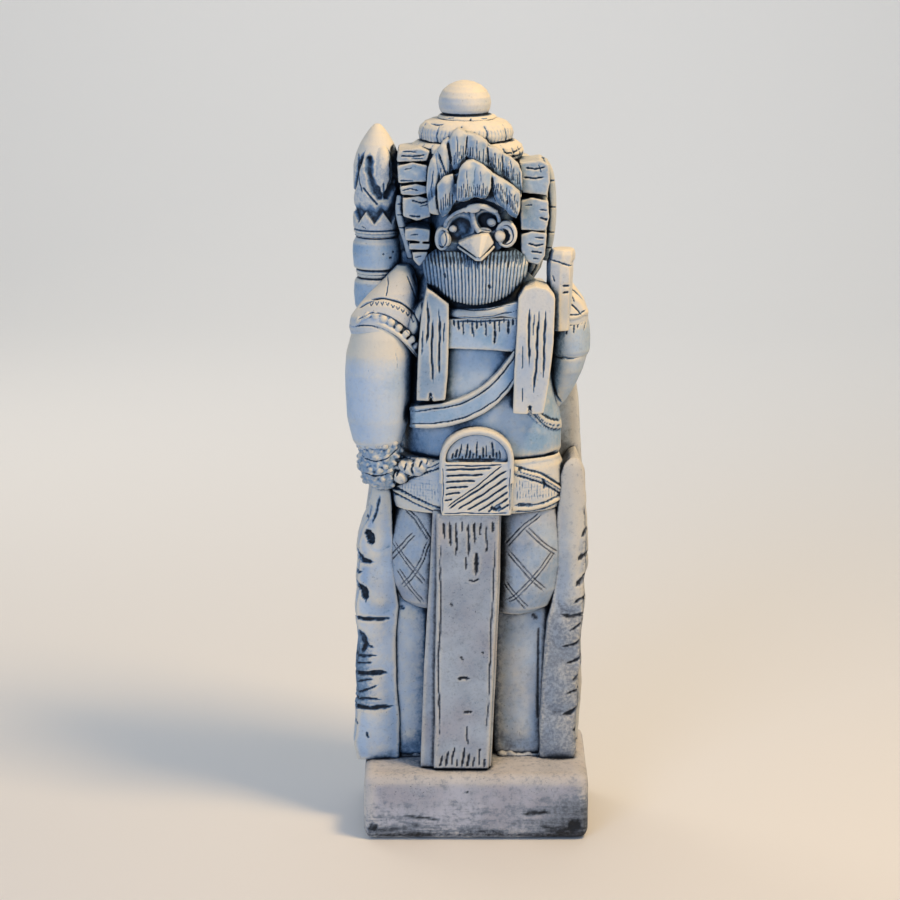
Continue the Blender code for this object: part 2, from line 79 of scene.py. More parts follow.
bpy.ops.object.select_all(action="DESELECT")
bpy.ops.mesh.primitive_plane_add(size=FLOOR_SIZE, location=(0, 0, 0))
floor = bpy.context.object
floor.name = "floor"
bpy.ops.object.mode_set(mode="EDIT")
bpy.ops.mesh.select_all(action="DESELECT")
bpy.ops.object.mode_set(mode="OBJECT")
for edge in floor.data.edges:
    edge.select = all(floor.data.vertices[v].co.y > 0.49 * FLOOR_SIZE for v in edge.vertices)
bpy.ops.object.mode_set(mode="EDIT")
bpy.ops.mesh.extrude_region_move(TRANSFORM_OT_translate={"value": (0, 0, WALL_HEIGHT)})
bpy.ops.object.mode_set(mode="OBJECT")
only(floor)
bpy.ops.object.modifier_add(type="BEVEL")
floor.modifiers[-1].width = BEND_RADIUS
floor.modifiers[-1].segments = 16
bpy.ops.object.modifier_apply(modifier=floor.modifiers[-1].name)
bpy.ops.object.shade_smooth()
# matt paper, a warm off-white: it takes its colour from the lamps and shows no grain
paper = bpy.data.materials.new("matt_backdrop_paper")
paper.use_nodes = True
shader = paper.node_tree.nodes["Principled BSDF"]
shader.inputs["Base Color"].default_value = linear("#EDEBE7")
shader.inputs["Roughness"].default_value = 0.9
floor.data.materials.append(paper)

world = bpy.data.worlds.new("studio")
bpy.context.scene.world = world
world.use_nodes = True
world.node_tree.nodes["Background"].inputs[0].default_value = linear("#DCE6F2")
world.node_tree.nodes["Background"].inputs[1].default_value = 0.36
bpy.context.scene.view_settings.view_transform = "Standard"


def lamp(name, place, aim, width, watts, colour):
    """A square soft lamp that points at a spot."""
    light = bpy.data.lights.new(name, "AREA")
    light.size = width
    light.energy = watts
    light.color = linear(colour)[:3]
    holder = bpy.data.objects.new(name, light)
    holder.location = place
    holder.rotation_euler = (Vector(aim) - Vector(place)).to_track_quat("-Z", "Y").to_euler()
    bpy.context.scene.collection.objects.link(holder)


lamp("lamp_above", (0.75, -0.55, 1.75), (0, 0, 0.45), 0.45, 22.0, "#FFDAA4")
lamp("lamp_front", (-1.1, -2.3, 1.0), (0, 0, 0.35), 1.0, 20.0, "#A9CDFF")
lamp("lamp_back", (-1.3, 1.5, 1.4), (0, 0, 0.4), 1.0, 7.0, "#FFF1DE")
lamp("lamp_backdrop", (0, 2.0, 2.9), (0, 4.0, 0.9), 2.5, 40.0, "#FFFFFF")

eye = bpy.data.cameras.new("camera")
eye.lens = 119.5
eye.sensor_width = 36.0
camera = bpy.data.objects.new("camera", eye)
camera.location = (-0.0243, -2.70, 1.00)
camera.rotation_euler = (math.radians(90 - TILT_DOWN), 0, 0)
bpy.context.scene.collection.objects.link(camera)
bpy.context.scene.camera = camera

# ---------------------------------------------------------------- plinth
# The block that the figure stands on, one with it in the same pour of cement and sand. Its top
# edge is pale, partly worn and partly painted warm light from above, its foot is chipped, and dark
# wash has run down its front.
FINE_GRAIN = 1.15  # mm between points of the closely carved pieces
SKIN_GRAIN = 1.5  # smooth skin, and the back of the headdress
PLAIN_GRAIN = 1.8  # plain blocks
BACK_GRAIN = 2.4  # the broad back slab


def mm(*lengths):
    """Millimetres as metres."""
    metres = tuple(length / 1000 for length in lengths)
    return metres if len(metres) > 1 else metres[0]


def modify(obj, kind, **settings):
    """Adds a modifier to the object, sets it and applies it."""
    only(obj)
    bpy.ops.object.modifier_add(type=kind)
    modifier = obj.modifiers[-1]
    for key, value in settings.items():
        setattr(modifier, key, value)
    bpy.ops.object.modifier_apply(modifier=modifier.name)
    return obj


def block(low, high, edge=2.0):
    """A box between two corners with its edges taken off."""
    bpy.ops.object.select_all(action="DESELECT")
    centre = [(a + b) / 2 for a, b in zip(low, high)]
    size = [b - a for a, b in zip(low, high)]
    bpy.ops.mesh.primitive_cube_add(size=1.0, location=mm(*centre), scale=mm(*size))
    bpy.ops.object.transform_apply(location=True, rotation=True, scale=True)
    bpy.ops.object.mode_set(mode="EDIT")
    bpy.ops.mesh.select_all(action="SELECT")
    bpy.ops.mesh.bevel(offset=mm(edge), segments=3)
    bpy.ops.object.mode_set(mode="OBJECT")
    return bpy.context.object


def cast(name, parts, grain=FINE_GRAIN, soften=3):
    """Works lumps of clay into one body, then takes its sharpness off, as a worn mould does."""
    only(parts[0])
    for part in parts:
        part.select_set(True)
    if len(parts) > 1:
        bpy.ops.object.join()
    body = bpy.context.object
    body.name = body.data.name = name
    modify(body, "REMESH", mode="VOXEL", voxel_size=mm(grain), adaptivity=0.0)
    if soften:
        modify(body, "SMOOTH", factor=0.5, iterations=soften)
    return body


def surface(obj):
    """The places, in mm, and the outward directions of the object's points."""
    count = len(obj.data.vertices)
    places, facing = np.empty(count * 3), np.empty(count * 3)
    obj.data.vertices.foreach_get("co", places)
    obj.data.vertex_normals.foreach_get("vector", facing)
    return places.reshape(-1, 3) * 1000, facing.reshape(-1, 3)


def darkness_of(obj):
    """The dark wash lying in the carved lines, with painted shade added to it, from 0 to 1, kept
    on the object's points.
    """
    count = len(obj.data.vertices)
    kept = obj.data.attributes.get("wash")
    if kept is None:
        kept = obj.data.attributes.new("wash", "FLOAT", "POINT")
        kept.data.foreach_set("value", np.zeros(count))
    amounts = np.empty(count)
    kept.data.foreach_get("value", amounts)
    return amounts


def press(obj, depth, darken=None):
    """Pushes each point in by its depth in mm, and darkens it as told, with wash and with painted
    shade alike.
    """
    places, facing = surface(obj)
    amounts = darkness_of(obj)
    places -= facing * depth[:, None]
    obj.data.vertices.foreach_set("co", (places / 1000).ravel())
    if darken is not None:
        amounts = np.clip(np.maximum(amounts, darken), 0, 1)
        obj.data.attributes["wash"].data.foreach_set("value", amounts)
    obj.data.update()


def smoothstep(low, high, value):
    """From 0 at low to 1 at high, eased at both ends."""
    share = np.clip((value - low) / (high - low), 0, 1)
    return share * share * (3 - 2 * share)


VIEWS = {  # the two axes that a side is drawn on, and the direction that it faces
    "front": (0, 2, (0, -1, 0)),
    "back": (0, 2, (0, 1, 0)),
    "left": (1, 2, (-1, 0, 0)),
    "right": (1, 2, (1, 0, 0)),
    "top": (0, 1, (0, 0, 1)),
}


def seen(obj, view, unsteady=0.5):
    """The points as drawn on one side, a little unsteady as by hand, and how far each faces it."""
    places, facing = surface(obj)
    across, up, direction = VIEWS[view]
    u, v = places[:, across], places[:, up]
    drawn_u = u + unsteady * (
        0.7 * np.sin(v * 0.13 + u * 0.05) + 0.3 * np.sin(v * 0.41 + u * 0.21)
    )
    drawn_v = v + unsteady * (
        0.7 * np.sin(u * 0.15 + v * 0.04) + 0.3 * np.sin(u * 0.37 + v * 0.17)
    )
    return drawn_u, drawn_v, facing @ np.array(direction, dtype=float), places


def reach_of(u, v, path):
    """Each point's distance from a path, and how far along the path it lies, from 0 to 1."""
    spans = [math.dist(a, b) for a, b in zip(path, path[1:])]
    whole = sum(spans)
    nearest, share, gone = np.full(len(u), 1e9), np.zeros(len(u)), 0.0
    for (au, av), (bu, bv), span in zip(path, path[1:], spans):
        along = np.clip(((u - au) * (bu - au) + (v - av) * (bv - av)) / (span * span), 0, 1)
        distance = np.hypot(u - au - along * (bu - au), v - av - along * (bv - av))
        closer = distance < nearest
        nearest = np.where(closer, distance, nearest)
        share = np.where(closer, (gone + along * span) / whole, share)
        gone += span
    return nearest, share


def carve(obj, strokes, view="front", taper=0.25, darken=0.6, facing_from=0.1):
    """Cuts grooves with a gouge. Each stroke is (path, width, depth) on one side of the piece."""
    u, v, faces, _ = seen(obj, view)
    depth, dark = np.zeros(len(u)), np.zeros(len(u))
    for path, width, deep in strokes:
        nearest, share = reach_of(u, v, path)
        ends = smoothstep(0, taper, share) * smoothstep(0, taper, 1 - share) if taper else 1.0
        ends = 0.12 + 0.88 * ends if taper else 1.0
        uneven = 1 + 0.22 * np.sin(share * 9 + width * 5) * np.sin(share * 23 + deep)
        half = width / 2 * ends * uneven
        bowl = np.clip(1 - (nearest / half) ** 2, 0, 1)
        depth = np.maximum(depth, deep * ends * bowl)
        dark = np.maximum(dark, darken * ends * smoothstep(1.25, 0.15, nearest / half))
    facing_share = smoothstep(facing_from, facing_from + 0.35, faces)
    press(obj, depth * facing_share, dark * facing_share)


def tint(obj, amount):
    """Darkens the piece by this much more at each point: more wash on some pieces, painted shade
    on others.
    """
    press(obj, np.zeros(len(amount)), darkness_of(obj) + amount)


def weather(obj, strength=0.5, size=18.0):
    """Uneven casting: slow waves of the surface, and a fine sandy roughness."""
    for name, tall, wide in (("waves", strength, size), ("sand", 0.18, 2.6)):
        texture = bpy.data.textures.get(f"{name}_{wide}") or bpy.data.textures.new(
            f"{name}_{wide}", "CLOUDS"
        )
        texture.noise_scale = mm(wide)
        texture.noise_depth = 2
        modify(
            obj, "DISPLACE", texture=texture, strength=mm(tall), mid_level=0.5, direction="NORMAL",
        )


def settle_wash(obj, fine=0.55, broad=0.30):
    """Adds the wash that stays in hollows, where a point's neighbours stand above it.

    Fine is for a line's width, broad for a finger's, as smoothing steps over the neighbours.
    """
    fine_steps, broad_steps = 4, 24
    mesh = obj.data
    count = len(mesh.vertices)
    ends = np.empty(len(mesh.edges) * 2, dtype=np.int64)
    mesh.edges.foreach_get("vertices", ends)
    a, b = ends[0::2], ends[1::2]
    neighbours = np.maximum(np.bincount(np.r_[a, b], minlength=count), 1)
    places, facing = surface(obj)
    calm, hollow = places.copy(), {}
    for step in range(1, broad_steps + 1):
        moved = [
            np.bincount(a, calm[b, axis], count) + np.bincount(b, calm[a, axis], count)
            for axis in range(3)
        ]
        calm = np.stack(moved, axis=1) / neighbours[:, None]
        if step in (fine_steps, broad_steps):
            hollow[step] = ((calm - places) * facing).sum(1)
    amounts = darkness_of(obj) + fine * np.clip(hollow[fine_steps] - 0.05, 0, 2) * 3
    amounts += broad * np.clip(hollow[broad_steps] - 0.15, 0, 4)
    mesh.attributes["wash"].data.foreach_set("value", np.clip(amounts, 0, 1))
    ridge = mesh.attributes.new("ridge", "FLOAT", "POINT")
    worn = -hollow[fine_steps] * 2.2 - hollow[broad_steps] * 0.7 - 0.1
    ridge.data.foreach_set("value", np.clip(worn, 0, 1))


STEP = {"interpolation_type": "SMOOTHSTEP"}
ADD, TIMES = {"operation": "ADD", "use_clamp": True}, {"operation": "MULTIPLY"}
MIX = {"data_type": "RGBA"}


def cast_stone(name, pale, mid, grey=0.0, warm="#EDE0C4", pits=0.5, streaks=False, lit_band=None):
    """Lime-washed cement: chalky and pale where worn and under painted warm light on its tops,
    slate-dark where wash has settled and in painted shade in its nooks.

    Grey is how much bare cement shows, pits how sandy it is. A streaked stone has wash run down
    it, and one with a lit band is painted cream between two heights in mm, as warm light on its
    upper part.
    """
    made = bpy.data.materials.new(name)
    made.use_nodes = True
    tree = made.node_tree
    shader = tree.nodes["Principled BSDF"]
    noise, ramp = "ShaderNodeTexNoise", "ShaderNodeMapRange"
    sums, mix = "ShaderNodeMath", "ShaderNodeMix"
    spot = add_node(tree, "ShaderNodeTexCoord").outputs["Object"]
    normal = add_node(tree, "ShaderNodeNewGeometry").outputs["Normal"]
    up = add_node(tree, "ShaderNodeSeparateXYZ", {0: normal}).outputs[2]
    level = add_node(tree, "ShaderNodeSeparateXYZ", {0: spot}).outputs[2]
    wash = add_node(tree, "ShaderNodeAttribute", attribute_name="wash").outputs["Fac"]
    ridge = add_node(tree, "ShaderNodeAttribute", attribute_name="ridge").outputs["Fac"]
    # ambient occlusion, for the painted shade in nooks and hollows
    nook = add_node(tree, "ShaderNodeAmbientOcclusion", samples=8, in_1=mm(9)).outputs["AO"]
    wide_nook = add_node(tree, "ShaderNodeAmbientOcclusion", samples=8, in_1=mm(40)).outputs["AO"]

    # sand grains, brushed wash and whole-hand patches, by their width in mm
    grit = add_node(tree, noise, {0: spot}, in_2=1000 / 1.6, in_3=3.0, in_4=0.55).outputs[0]
    stipple = add_node(tree, noise, {0: spot}, in_2=1000 / 2.8, in_3=4.0, in_4=0.65).outputs[0]
    brushed = add_node(tree, noise, {0: spot}, in_2=1000 / 7, in_3=5.0, in_4=0.65).outputs[0]
    patches = add_node(tree, noise, {0: spot}, in_2=1000 / 38, in_3=4.0, in_4=0.55).outputs[0]
    bare = add_node(tree, noise, {0: spot}, in_2=1000 / 55, in_3=2.0, in_4=0.55).outputs[0]

    # dark wash in carved lines, thinner and patchy around them; painted shade from ambient
    # occlusion in nooks between pieces and in broad hollows
    off_floor = add_node(tree, ramp, {0: level}, in_1=mm(1), in_2=mm(9), **STEP).outputs[0]
    crevice_shade = add_node(tree, ramp, {0: nook}, in_1=0.78, in_2=0.20, **STEP).outputs[0]
    crevice_shade = add_node(tree, sums, {0: crevice_shade, 1: off_floor}, **TIMES).outputs[0]
    hollow = add_node(
        tree, ramp, {0: wide_nook}, in_1=0.66, in_2=0.15, in_4=0.75 - 0.4 * grey, **STEP,
    )
    hollow = add_node(tree, sums, {0: hollow.outputs[0], 1: off_floor}, **TIMES).outputs[0]
    dry_brush = add_node(
        tree, ramp, {0: brushed}, in_1=0.30, in_2=0.60, in_3=0.55, **STEP,
    ).outputs[0]
    total = add_node(tree, sums, {0: wash, 1: dry_brush}, **TIMES).outputs[0]
    total = add_node(tree, sums, {0: total, 1: crevice_shade}, **ADD).outputs[0]
    total = add_node(tree, sums, {0: total, 1: hollow}, **ADD).outputs[0]
    film = add_node(
        tree, ramp, {0: brushed}, in_1=0.3, in_2=0.75, in_3=0.07 + 0.1 * grey, in_4=-0.12, **STEP
    ).outputs[0]
    total = add_node(tree, sums, {0: total, 1: film}, operation="ADD").outputs[0]
    film = add_node(
        tree, ramp, {0: stipple}, in_1=0.35, in_2=0.7, in_3=0.05 + 0.07 * pits, in_4=-0.10, **STEP
    ).outputs[0]
    total = add_node(tree, sums, {0: total, 1: film}, **ADD).outputs[0]
    if streaks:
        drawn_out = add_node(
            tree, "ShaderNodeMapping", {0: spot}, in_3=(0.35, 0.35, 2.6),
        ).outputs[0]
        run = add_node(tree, noise, {0: drawn_out}, in_2=1000 / 16, in_3=6.0, in_4=0.7).outputs[0]
        run = add_node(tree, ramp, {0: run}, in_1=0.40, in_2=0.74, **STEP).outputs[0]
        low_down = add_node(
            tree, ramp, {0: level}, in_1=mm(50), in_2=mm(8), in_3=0.10, in_4=0.52, **STEP
        ).outputs[0]
        run = add_node(tree, sums, {0: run, 1: low_down}, **TIMES).outputs[0]
        total = add_node(tree, sums, {0: total, 1: run}, **ADD).outputs[0]
        soaked = add_node(
            tree, ramp, {0: level}, in_1=mm(40), in_2=mm(6), in_3=0.0, in_4=0.12, **STEP
        ).outputs[0]
        total = add_node(tree, sums, {0: total, 1: soaked}, **ADD).outputs[0]

    # the limewash itself, with bare cement and thin blue patches showing through
    share = add_node(tree, ramp, {0: patches}, in_1=0.35, in_2=0.68, **STEP).outputs[0]
    colour = add_node(tree, mix, {0: share}, in_6=linear(pale), in_7=linear(mid), **MIX).outputs[2]
    share = add_node(
        tree, ramp, {0: bare}, in_1=0.45, in_2=0.7, in_4=0.5 * grey, **STEP,
    ).outputs[0]
    colour = add_node(tree, mix, {0: share, 6: colour}, in_7=linear("#A59FA6"), **MIX).outputs[2]
    share = add_node(
        tree, ramp, {0: stipple}, in_1=0.5, in_2=0.78, in_4=0.22 + 0.3 * grey, **STEP
    ).outputs[0]
    colour = add_node(tree, mix, {0: share, 6: colour}, in_7=linear("#70839A"), **MIX).outputs[2]

    # painted warm light: cream where it faces up and between the lit heights; rubbed to cream on
    # worn edges too
    lit_and_worn = add_node(tree, ramp, {0: up}, in_1=-0.05, in_2=0.75, in_4=0.75, **STEP).outputs[0]
    lit_and_worn = add_node(tree, sums, {0: lit_and_worn, 1: ridge}, **ADD).outputs[0]
    if lit_band:
        lit_height_share = add_node(
            tree, ramp, {0: level}, in_1=mm(lit_band[0]), in_2=mm(lit_band[1]), in_4=0.8, **STEP
        ).outputs[0]
        lit_and_worn = add_node(tree, sums, {0: lit_and_worn, 1: lit_height_share}, **ADD).outputs[0]
    lit_and_worn = add_node(tree, sums, {0: lit_and_worn}, in_1=0.75 - 0.4 * grey, **TIMES).outputs[0]
    colour = add_node(tree, mix, {0: lit_and_worn, 6: colour}, in_7=linear(warm), **MIX).outputs[2]

    # pinholes left by air in the pour, gathered in places
    speck = add_node(tree, ramp, {0: grit}, in_1=0.64, in_2=0.71, **STEP).outputs[0]
    gathered = add_node(tree, ramp, {0: patches}, in_1=0.40, in_2=0.60, **STEP).outputs[0]
    speck = add_node(tree, sums, {0: speck, 1: gathered}, **TIMES).outputs[0]
    share = add_node(tree, sums, {0: speck}, in_1=0.25 + 0.65 * pits, **TIMES).outputs[0]
    colour = add_node(tree, mix, {0: share, 6: colour}, in_7=linear("#333F4E"), **MIX).outputs[2]

    washes = ("#7896B4", "#385069", "#131D29")
    if grey > 0.5:  # on bare cement the wash is nearly black instead of slate blue
        washes = ("#858D98", "#474D56", "#1B2027")
    for (low, high), wash_colour in zip(((0.08, 0.42), (0.32, 0.76), (0.62, 1.0)), washes):
        share = add_node(tree, ramp, {0: total}, in_1=low, in_2=high, **STEP).outputs[0]
        colour = add_node(
            tree, mix, {0: share, 6: colour}, in_7=linear(wash_colour), **MIX,
        ).outputs[2]
    tree.links.new(colour, shader.inputs["Base Color"])

    # dry limewash is dead matt and the wash a little smoother; grains and brush marks stand up
    rough = add_node(tree, ramp, {0: total}, in_1=0.2, in_2=0.9, in_3=0.9, in_4=0.62, **STEP)
    tree.links.new(rough.outputs[0], shader.inputs["Roughness"])
    shader.inputs["IOR"].default_value = 1.5
    shader.inputs["Specular IOR Level"].default_value = 0.35
    height = add_node(tree, sums, {0: grit}, in_1=0.35, **TIMES).outputs[0]
    lumps = add_node(tree, sums, {0: brushed}, in_1=0.5, **TIMES).outputs[0]
    height = add_node(tree, sums, {0: height, 1: lumps}, operation="ADD").outputs[0]
    height = add_node(tree, sums, {0: height, 1: speck}, operation="SUBTRACT").outputs[0]
    bump = add_node(tree, "ShaderNodeBump", {"Height": height}, in_0=0.5, in_1=mm(0.7))
    tree.links.new(bump.outputs[0], shader.inputs["Normal"])
    return made


def place(piece, stone, slot_name, *nodes):
    """Shades the piece, gives it its stone, hangs it from the root and hides the CAD nodes that it
    stands for.
    """
    settle_wash(piece)
    only(piece)
    bpy.ops.object.shade_smooth()
    piece.data.materials.clear()
    piece.data.materials.append(stone)
    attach(piece, "root")
    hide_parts(*nodes)
    return piece


# cement and sand from a steel mould, its wash run down in streaks: a mottled grey, matt and gritty
plinth_stone = cast_stone("streaked_cast_stone", "#C2C3CB", "#AFB2BC", 1.0, pits=0.9, streaks=True)
plinth = cast(
    "plinth_block", [block((-104.4, -74.2, 0.7), (104.4, 74.4, 63.4), 8)], PLAIN_GRAIN, 6,
)
weather(plinth, 1.1, 34.0)
chips = [
    ([(84, 13), (99, 16)], 14, 1.6), ([(-101, 14), (-92, 10)], 12, 1.2),
    ([(-10, 49), (-8, 47)], 3, 0.8),
]
chips += [([(40, 26), (70, 28)], 5, 0.5), ([(-70, 24), (-30, 21)], 4, 0.4)]
carve(plinth, chips, darken=0.35)
places, facing = surface(plinth)
damp_and_shade = 0.42 * smoothstep(30, 100, places[:, 0]) * smoothstep(58, 30, places[:, 2])
tint(plinth, damp_and_shade)
ragged = 0.5 + 0.5 * np.sin(places[:, 0] * 0.9) * np.sin(places[:, 0] * 0.23 + 2)
foot = smoothstep(9, 1, places[:, 2]) * ragged
press(plinth, 1.4 * foot * (np.abs(facing[:, 2]) < 0.6))
place(plinth, plinth_stone, "stone_low", "plinth")

# ---------------------------------------------------------------- core, legs and trousers
# The column inside, the two bare legs, and the baggy trousers over the hips, all cast in one
# with the plinth. A quilted net is cut into the trousers as pairs of thin lines.


def limb(rings, sides=36):
    """A rounded body extruded ring by ring. A ring is (z, x, y, half width, half depth)."""
    bpy.ops.object.select_all(action="DESELECT")
    z, x, y, wide, deep = rings[0]
    bpy.ops.mesh.primitive_circle_add(
        vertices=sides, radius=mm(1.0), fill_type="NGON", location=mm(x, y, z)
    )
    bpy.ops.object.transform_apply(location=True, rotation=True, scale=True)
    bpy.ops.object.mode_set(mode="EDIT")
    bpy.ops.mesh.select_all(action="SELECT")
    bpy.ops.transform.resize(value=(wide, deep, 1), center_override=mm(x, y, z))
    for next_z, next_x, next_y, next_wide, next_deep in rings[1:]:
        step = mm(next_x - x, next_y - y, next_z - z)
        bpy.ops.mesh.extrude_region_move(TRANSFORM_OT_translate={"value": step})
        z, x, y = next_z, next_x, next_y
        bpy.ops.transform.resize(
            value=(next_wide / wide, next_deep / deep, 1), center_override=mm(x, y, z)
        )
        wide, deep = next_wide, next_deep
    bpy.ops.mesh.select_all(action="SELECT")
    bpy.ops.mesh.normals_make_consistent(inside=False)
    bpy.ops.object.mode_set(mode="OBJECT")
    return bpy.context.object


def pair(path, apart=2.6, width=1.3, depth=0.8):
    """Two cuts side by side along a path: the edges of a narrow raised cord."""
    (ax, av), (bx, bv) = path[0], path[-1]
    span = math.dist(path[0], path[-1])
    shift = (-(bv - av) / span * apart / 2, (bx - ax) / span * apart / 2)
    return [
        ([(u + side * shift[0], v + side * shift[1]) for u, v in path], width, depth)
        for side in (-1, 1)
    ]


def build_up(obj, strokes, view="front", profile=2.0):
    """Lays clay along paths. Each stroke is (path, width, height); a high profile is flatter."""
    u, v, faces, _ = seen(obj, view, unsteady=0.2)
    height = np.zeros(len(u))
    for path, width, tall in strokes:
        nearest, _ = reach_of(u, v, path)
        crown = np.clip(1 - (nearest / (width / 2)) ** profile, 0, 1)
        height = np.maximum(height, tall * (crown**2 if profile == 2.0 else crown))
    press(obj, -height * smoothstep(0.0, 0.35, faces))


# weathered cement under thin limewash: blue-grey, with bare warmer grey and pinholes
low_stone = cast_stone("weathered_cast_stone", "#B2C3D4", "#93A8BF", grey=0.7, pits=0.9)
# painted light: a paler, bluer copy of the weathered stone with less painted shade in its hollows,
# for the left leg and hanging, which the cool front lamp lights most; the palest, bluest stone of
# the lower half
lit_left_stone = cast_stone("cast_stone_painted_lit_left", "#C0D2E4", "#A6BDD6", grey=0.3, pits=0.7)
core = cast("core_column", [block((-44, -33, 62), (11, 30, 313), 3)], 2.5, 2)
place(core, low_stone, "stone_low", "core_post")

leg_corners = {"left": ((-81, -19, 62), (-43, 28, 236)), "right": ((17, -15, 62), (69, 28, 236))}
leg_bulge = {
    "left": [([(-61, 90), (-62, 200)], 40, 3.5)], "right": [([(40, 90), (40, 195)], 44, 3.5)],
}
leg_cuts = {
    "left": [([(-72, 212), (-66, 208)], 4, 0.6)],
    "right": [([(52, 204), (57, 197)], 5, 0.6), ([(59.5, 200), (58.5, 150), (58, 90)], 2.2, 1.2)],
}
for side, corners in leg_corners.items():
    leg = cast(f"leg_{side}", [block(*corners, edge=6)], PLAIN_GRAIN, 5)
    build_up(leg, leg_bulge[side])
    weather(leg, 0.9, 20.0)
    carve(leg, leg_cuts[side], darken=0.4)
    place(leg, lit_left_stone if side == "left" else low_stone, "stone_low", f"leg_{side}")

trouser_rings = {
    "left": [
        (212, -42, -8, 17, 22), (219, -46, -7, 26, 29), (236, -49, -6, 32, 34),
        (256, -50, -6, 34, 35.5), (278, -49, -6, 33.5, 34.5), (298, -47, -6, 30, 32),
        (309, -45, -6, 28, 30),
    ],
    "right": [
        (206, 36, -7, 20, 22), (213, 42, -7, 28, 29), (230, 46, -6, 33, 34),
        (254, 48, -6, 34, 35.5), (280, 48, -6, 33.5, 34.5), (298, 47, -6, 32.5, 32),
        (309, 46, -6, 32, 30),
    ],
}
trouser_net = {
    "left": [
        [(-56.5, 288.2), (-74, 267), (-82, 256)], [(-66, 309), (-56, 300), (-42, 280)],
        [(-78, 277), (-66, 262), (-46, 238)], [(-42.7, 281), (-50, 262), (-60, 246), (-70, 232)],
        [(-74, 252), (-60, 233), (-48, 219)],
    ],
    "right": [
        [(26, 273), (44.8, 294), (60, 306)], [(44.8, 293), (60, 279), (76, 264)],
        [(28, 270), (40, 257), (52, 243), (66, 230)],
        [(74, 271), (62, 256), (50, 240), (36, 226), (26, 219)], [(26, 240), (38, 225), (48, 213)],
    ],
}
for side, rings in trouser_rings.items():
    trousers = cast(f"trousers_{side}", [limb(rings)], FINE_GRAIN, 6)
    weather(trousers, 1.0, 14.0)
    carve(
        trousers, [cut for path in trouser_net[side] for cut in pair(path, 3.2, 1.5, 0.8)],
        darken=0.36, taper=0.12,
    )
    place(trousers, low_stone, "stone_low", f"hip_{side}")

# crumbs of cement left round the feet; none lie behind the apron
rubble = []
for index in range(26):
    x = -72 + index * 5.6 + 2.0 * math.sin(index * 1.9)
    if -50 < x < 20:
        continue
    size = 3.4 + 1.7 * math.sin(index * 2.7)
    bpy.ops.object.select_all(action="DESELECT")
    bpy.ops.mesh.primitive_ico_sphere_add(
        subdivisions=2, radius=mm(size), location=mm(x, -13 + 4 * math.sin(index * 3.3), 64)
    )
    bpy.ops.object.transform_apply(location=True, rotation=True, scale=True)
    rubble.append(bpy.context.object)
rubble.append(block((-74, -18, 62), (-44, 20, 65.5), 1.5))
rubble.append(block((20, -18, 62), (66, 20, 65.5), 1.5))
ground = cast("cement_at_feet", rubble, FINE_GRAIN, 3)
weather(ground, 1.6, 7.0)
place(ground, low_stone, "stone_low", "plinth")

# ---------------------------------------------------------------- cape and its hanging edges
# A long stone cape stands behind the legs and ties them together, as thin legs alone would
# snap. Its two edges come forward as folded hangings, nicked across with a chisel.


def plate(outline, front, back, spread=1.0):
    """A slab with this outline in X and Z, its back face wider or narrower by a share."""
    bpy.ops.object.select_all(action="DESELECT")
    bpy.ops.mesh.primitive_circle_add(vertices=len(outline), fill_type="NGON")
    slab = bpy.context.object
    for vertex, (x, z) in zip(slab.data.vertices, outline):
        vertex.co = mm(x, front, z)
    bpy.ops.object.mode_set(mode="EDIT")
    bpy.ops.mesh.select_all(action="SELECT")
    bpy.ops.mesh.extrude_region_move(TRANSFORM_OT_translate={"value": mm(0, back - front, 0)})
    middle = [sum(axis) / len(outline) for axis in zip(*outline)]
    bpy.ops.transform.resize(
        value=(spread, 1, 1), center_override=mm(middle[0], back, middle[1])
    )
    bpy.ops.mesh.select_all(action="SELECT")
    bpy.ops.mesh.normals_make_consistent(inside=False)
    bpy.ops.object.mode_set(mode="OBJECT")
    return slab


def folds(obj, view, spacing, depth, low, high, phase=0.0):
    """Soft upright folds, as in a heavy hanging cloth."""
    u, v, faces, _ = seen(obj, view, unsteady=1.5)
    wave = np.sin(2 * np.pi * (u / spacing + 0.06 * np.sin(v / 37.0)) + phase)
    share = smoothstep(low, low + 12, v) * smoothstep(high, high - 12, v)
    share = share * smoothstep(0.2, 0.7, faces)
    valley = np.clip(-wave, 0, 1) ** 3
    press(obj, depth * (0.5 - 0.5 * wave) * share, 0.55 * valley * share)


cape_outline = [
    (-104, 62), (-108, 90), (-106, 140), (-110, 200), (-108, 260), (-101, 310), (-96, 350),
    (-92, 400), (-84, 450), (-74, 490), (-62, 508), (62, 508), (76, 490), (88, 450), (96, 400),
    (99, 350), (102, 300), (101, 240), (99, 180), (102, 120), (98, 62),
]
cape = cast("cape", [plate(cape_outline, 29, 65.4)], BACK_GRAIN, 7)
folds(cape, "back", spacing=24.0, depth=4.5, low=92, high=500)
weather(cape, 0.9, 26.0)
hem = [([(-101, 96), (0, 93), (96, 96)], 2.6, 1.6), ([(-101, 88), (0, 85), (96, 88)], 2.6, 1.6)]
hem += [([(x, 84 + 2 * math.sin(x)), (x + 1.2, 65)], 2.2, 1.5) for x in np.arange(-96, 95, 7.4)]
for row in range(3):
    level = 150 + row * 105
    cord = [(-98 + step * 28, level + (14 if step % 2 else -14)) for step in range(8)]
    for a, b in zip(cord, cord[1:]):
        hem += pair([a, b], 3.2, 1.8, 1.1)
carve(cape, hem, "back", taper=0.1)
for side in ("left", "right"):
    nicks = [([(31, z), (64, z + 2)], 3.2, 1.8) for z in (115, 148, 201, 262, 318, 366, 420)]
    carve(cape, nicks, side)
place(cape, low_stone, "stone_mid", "cape")

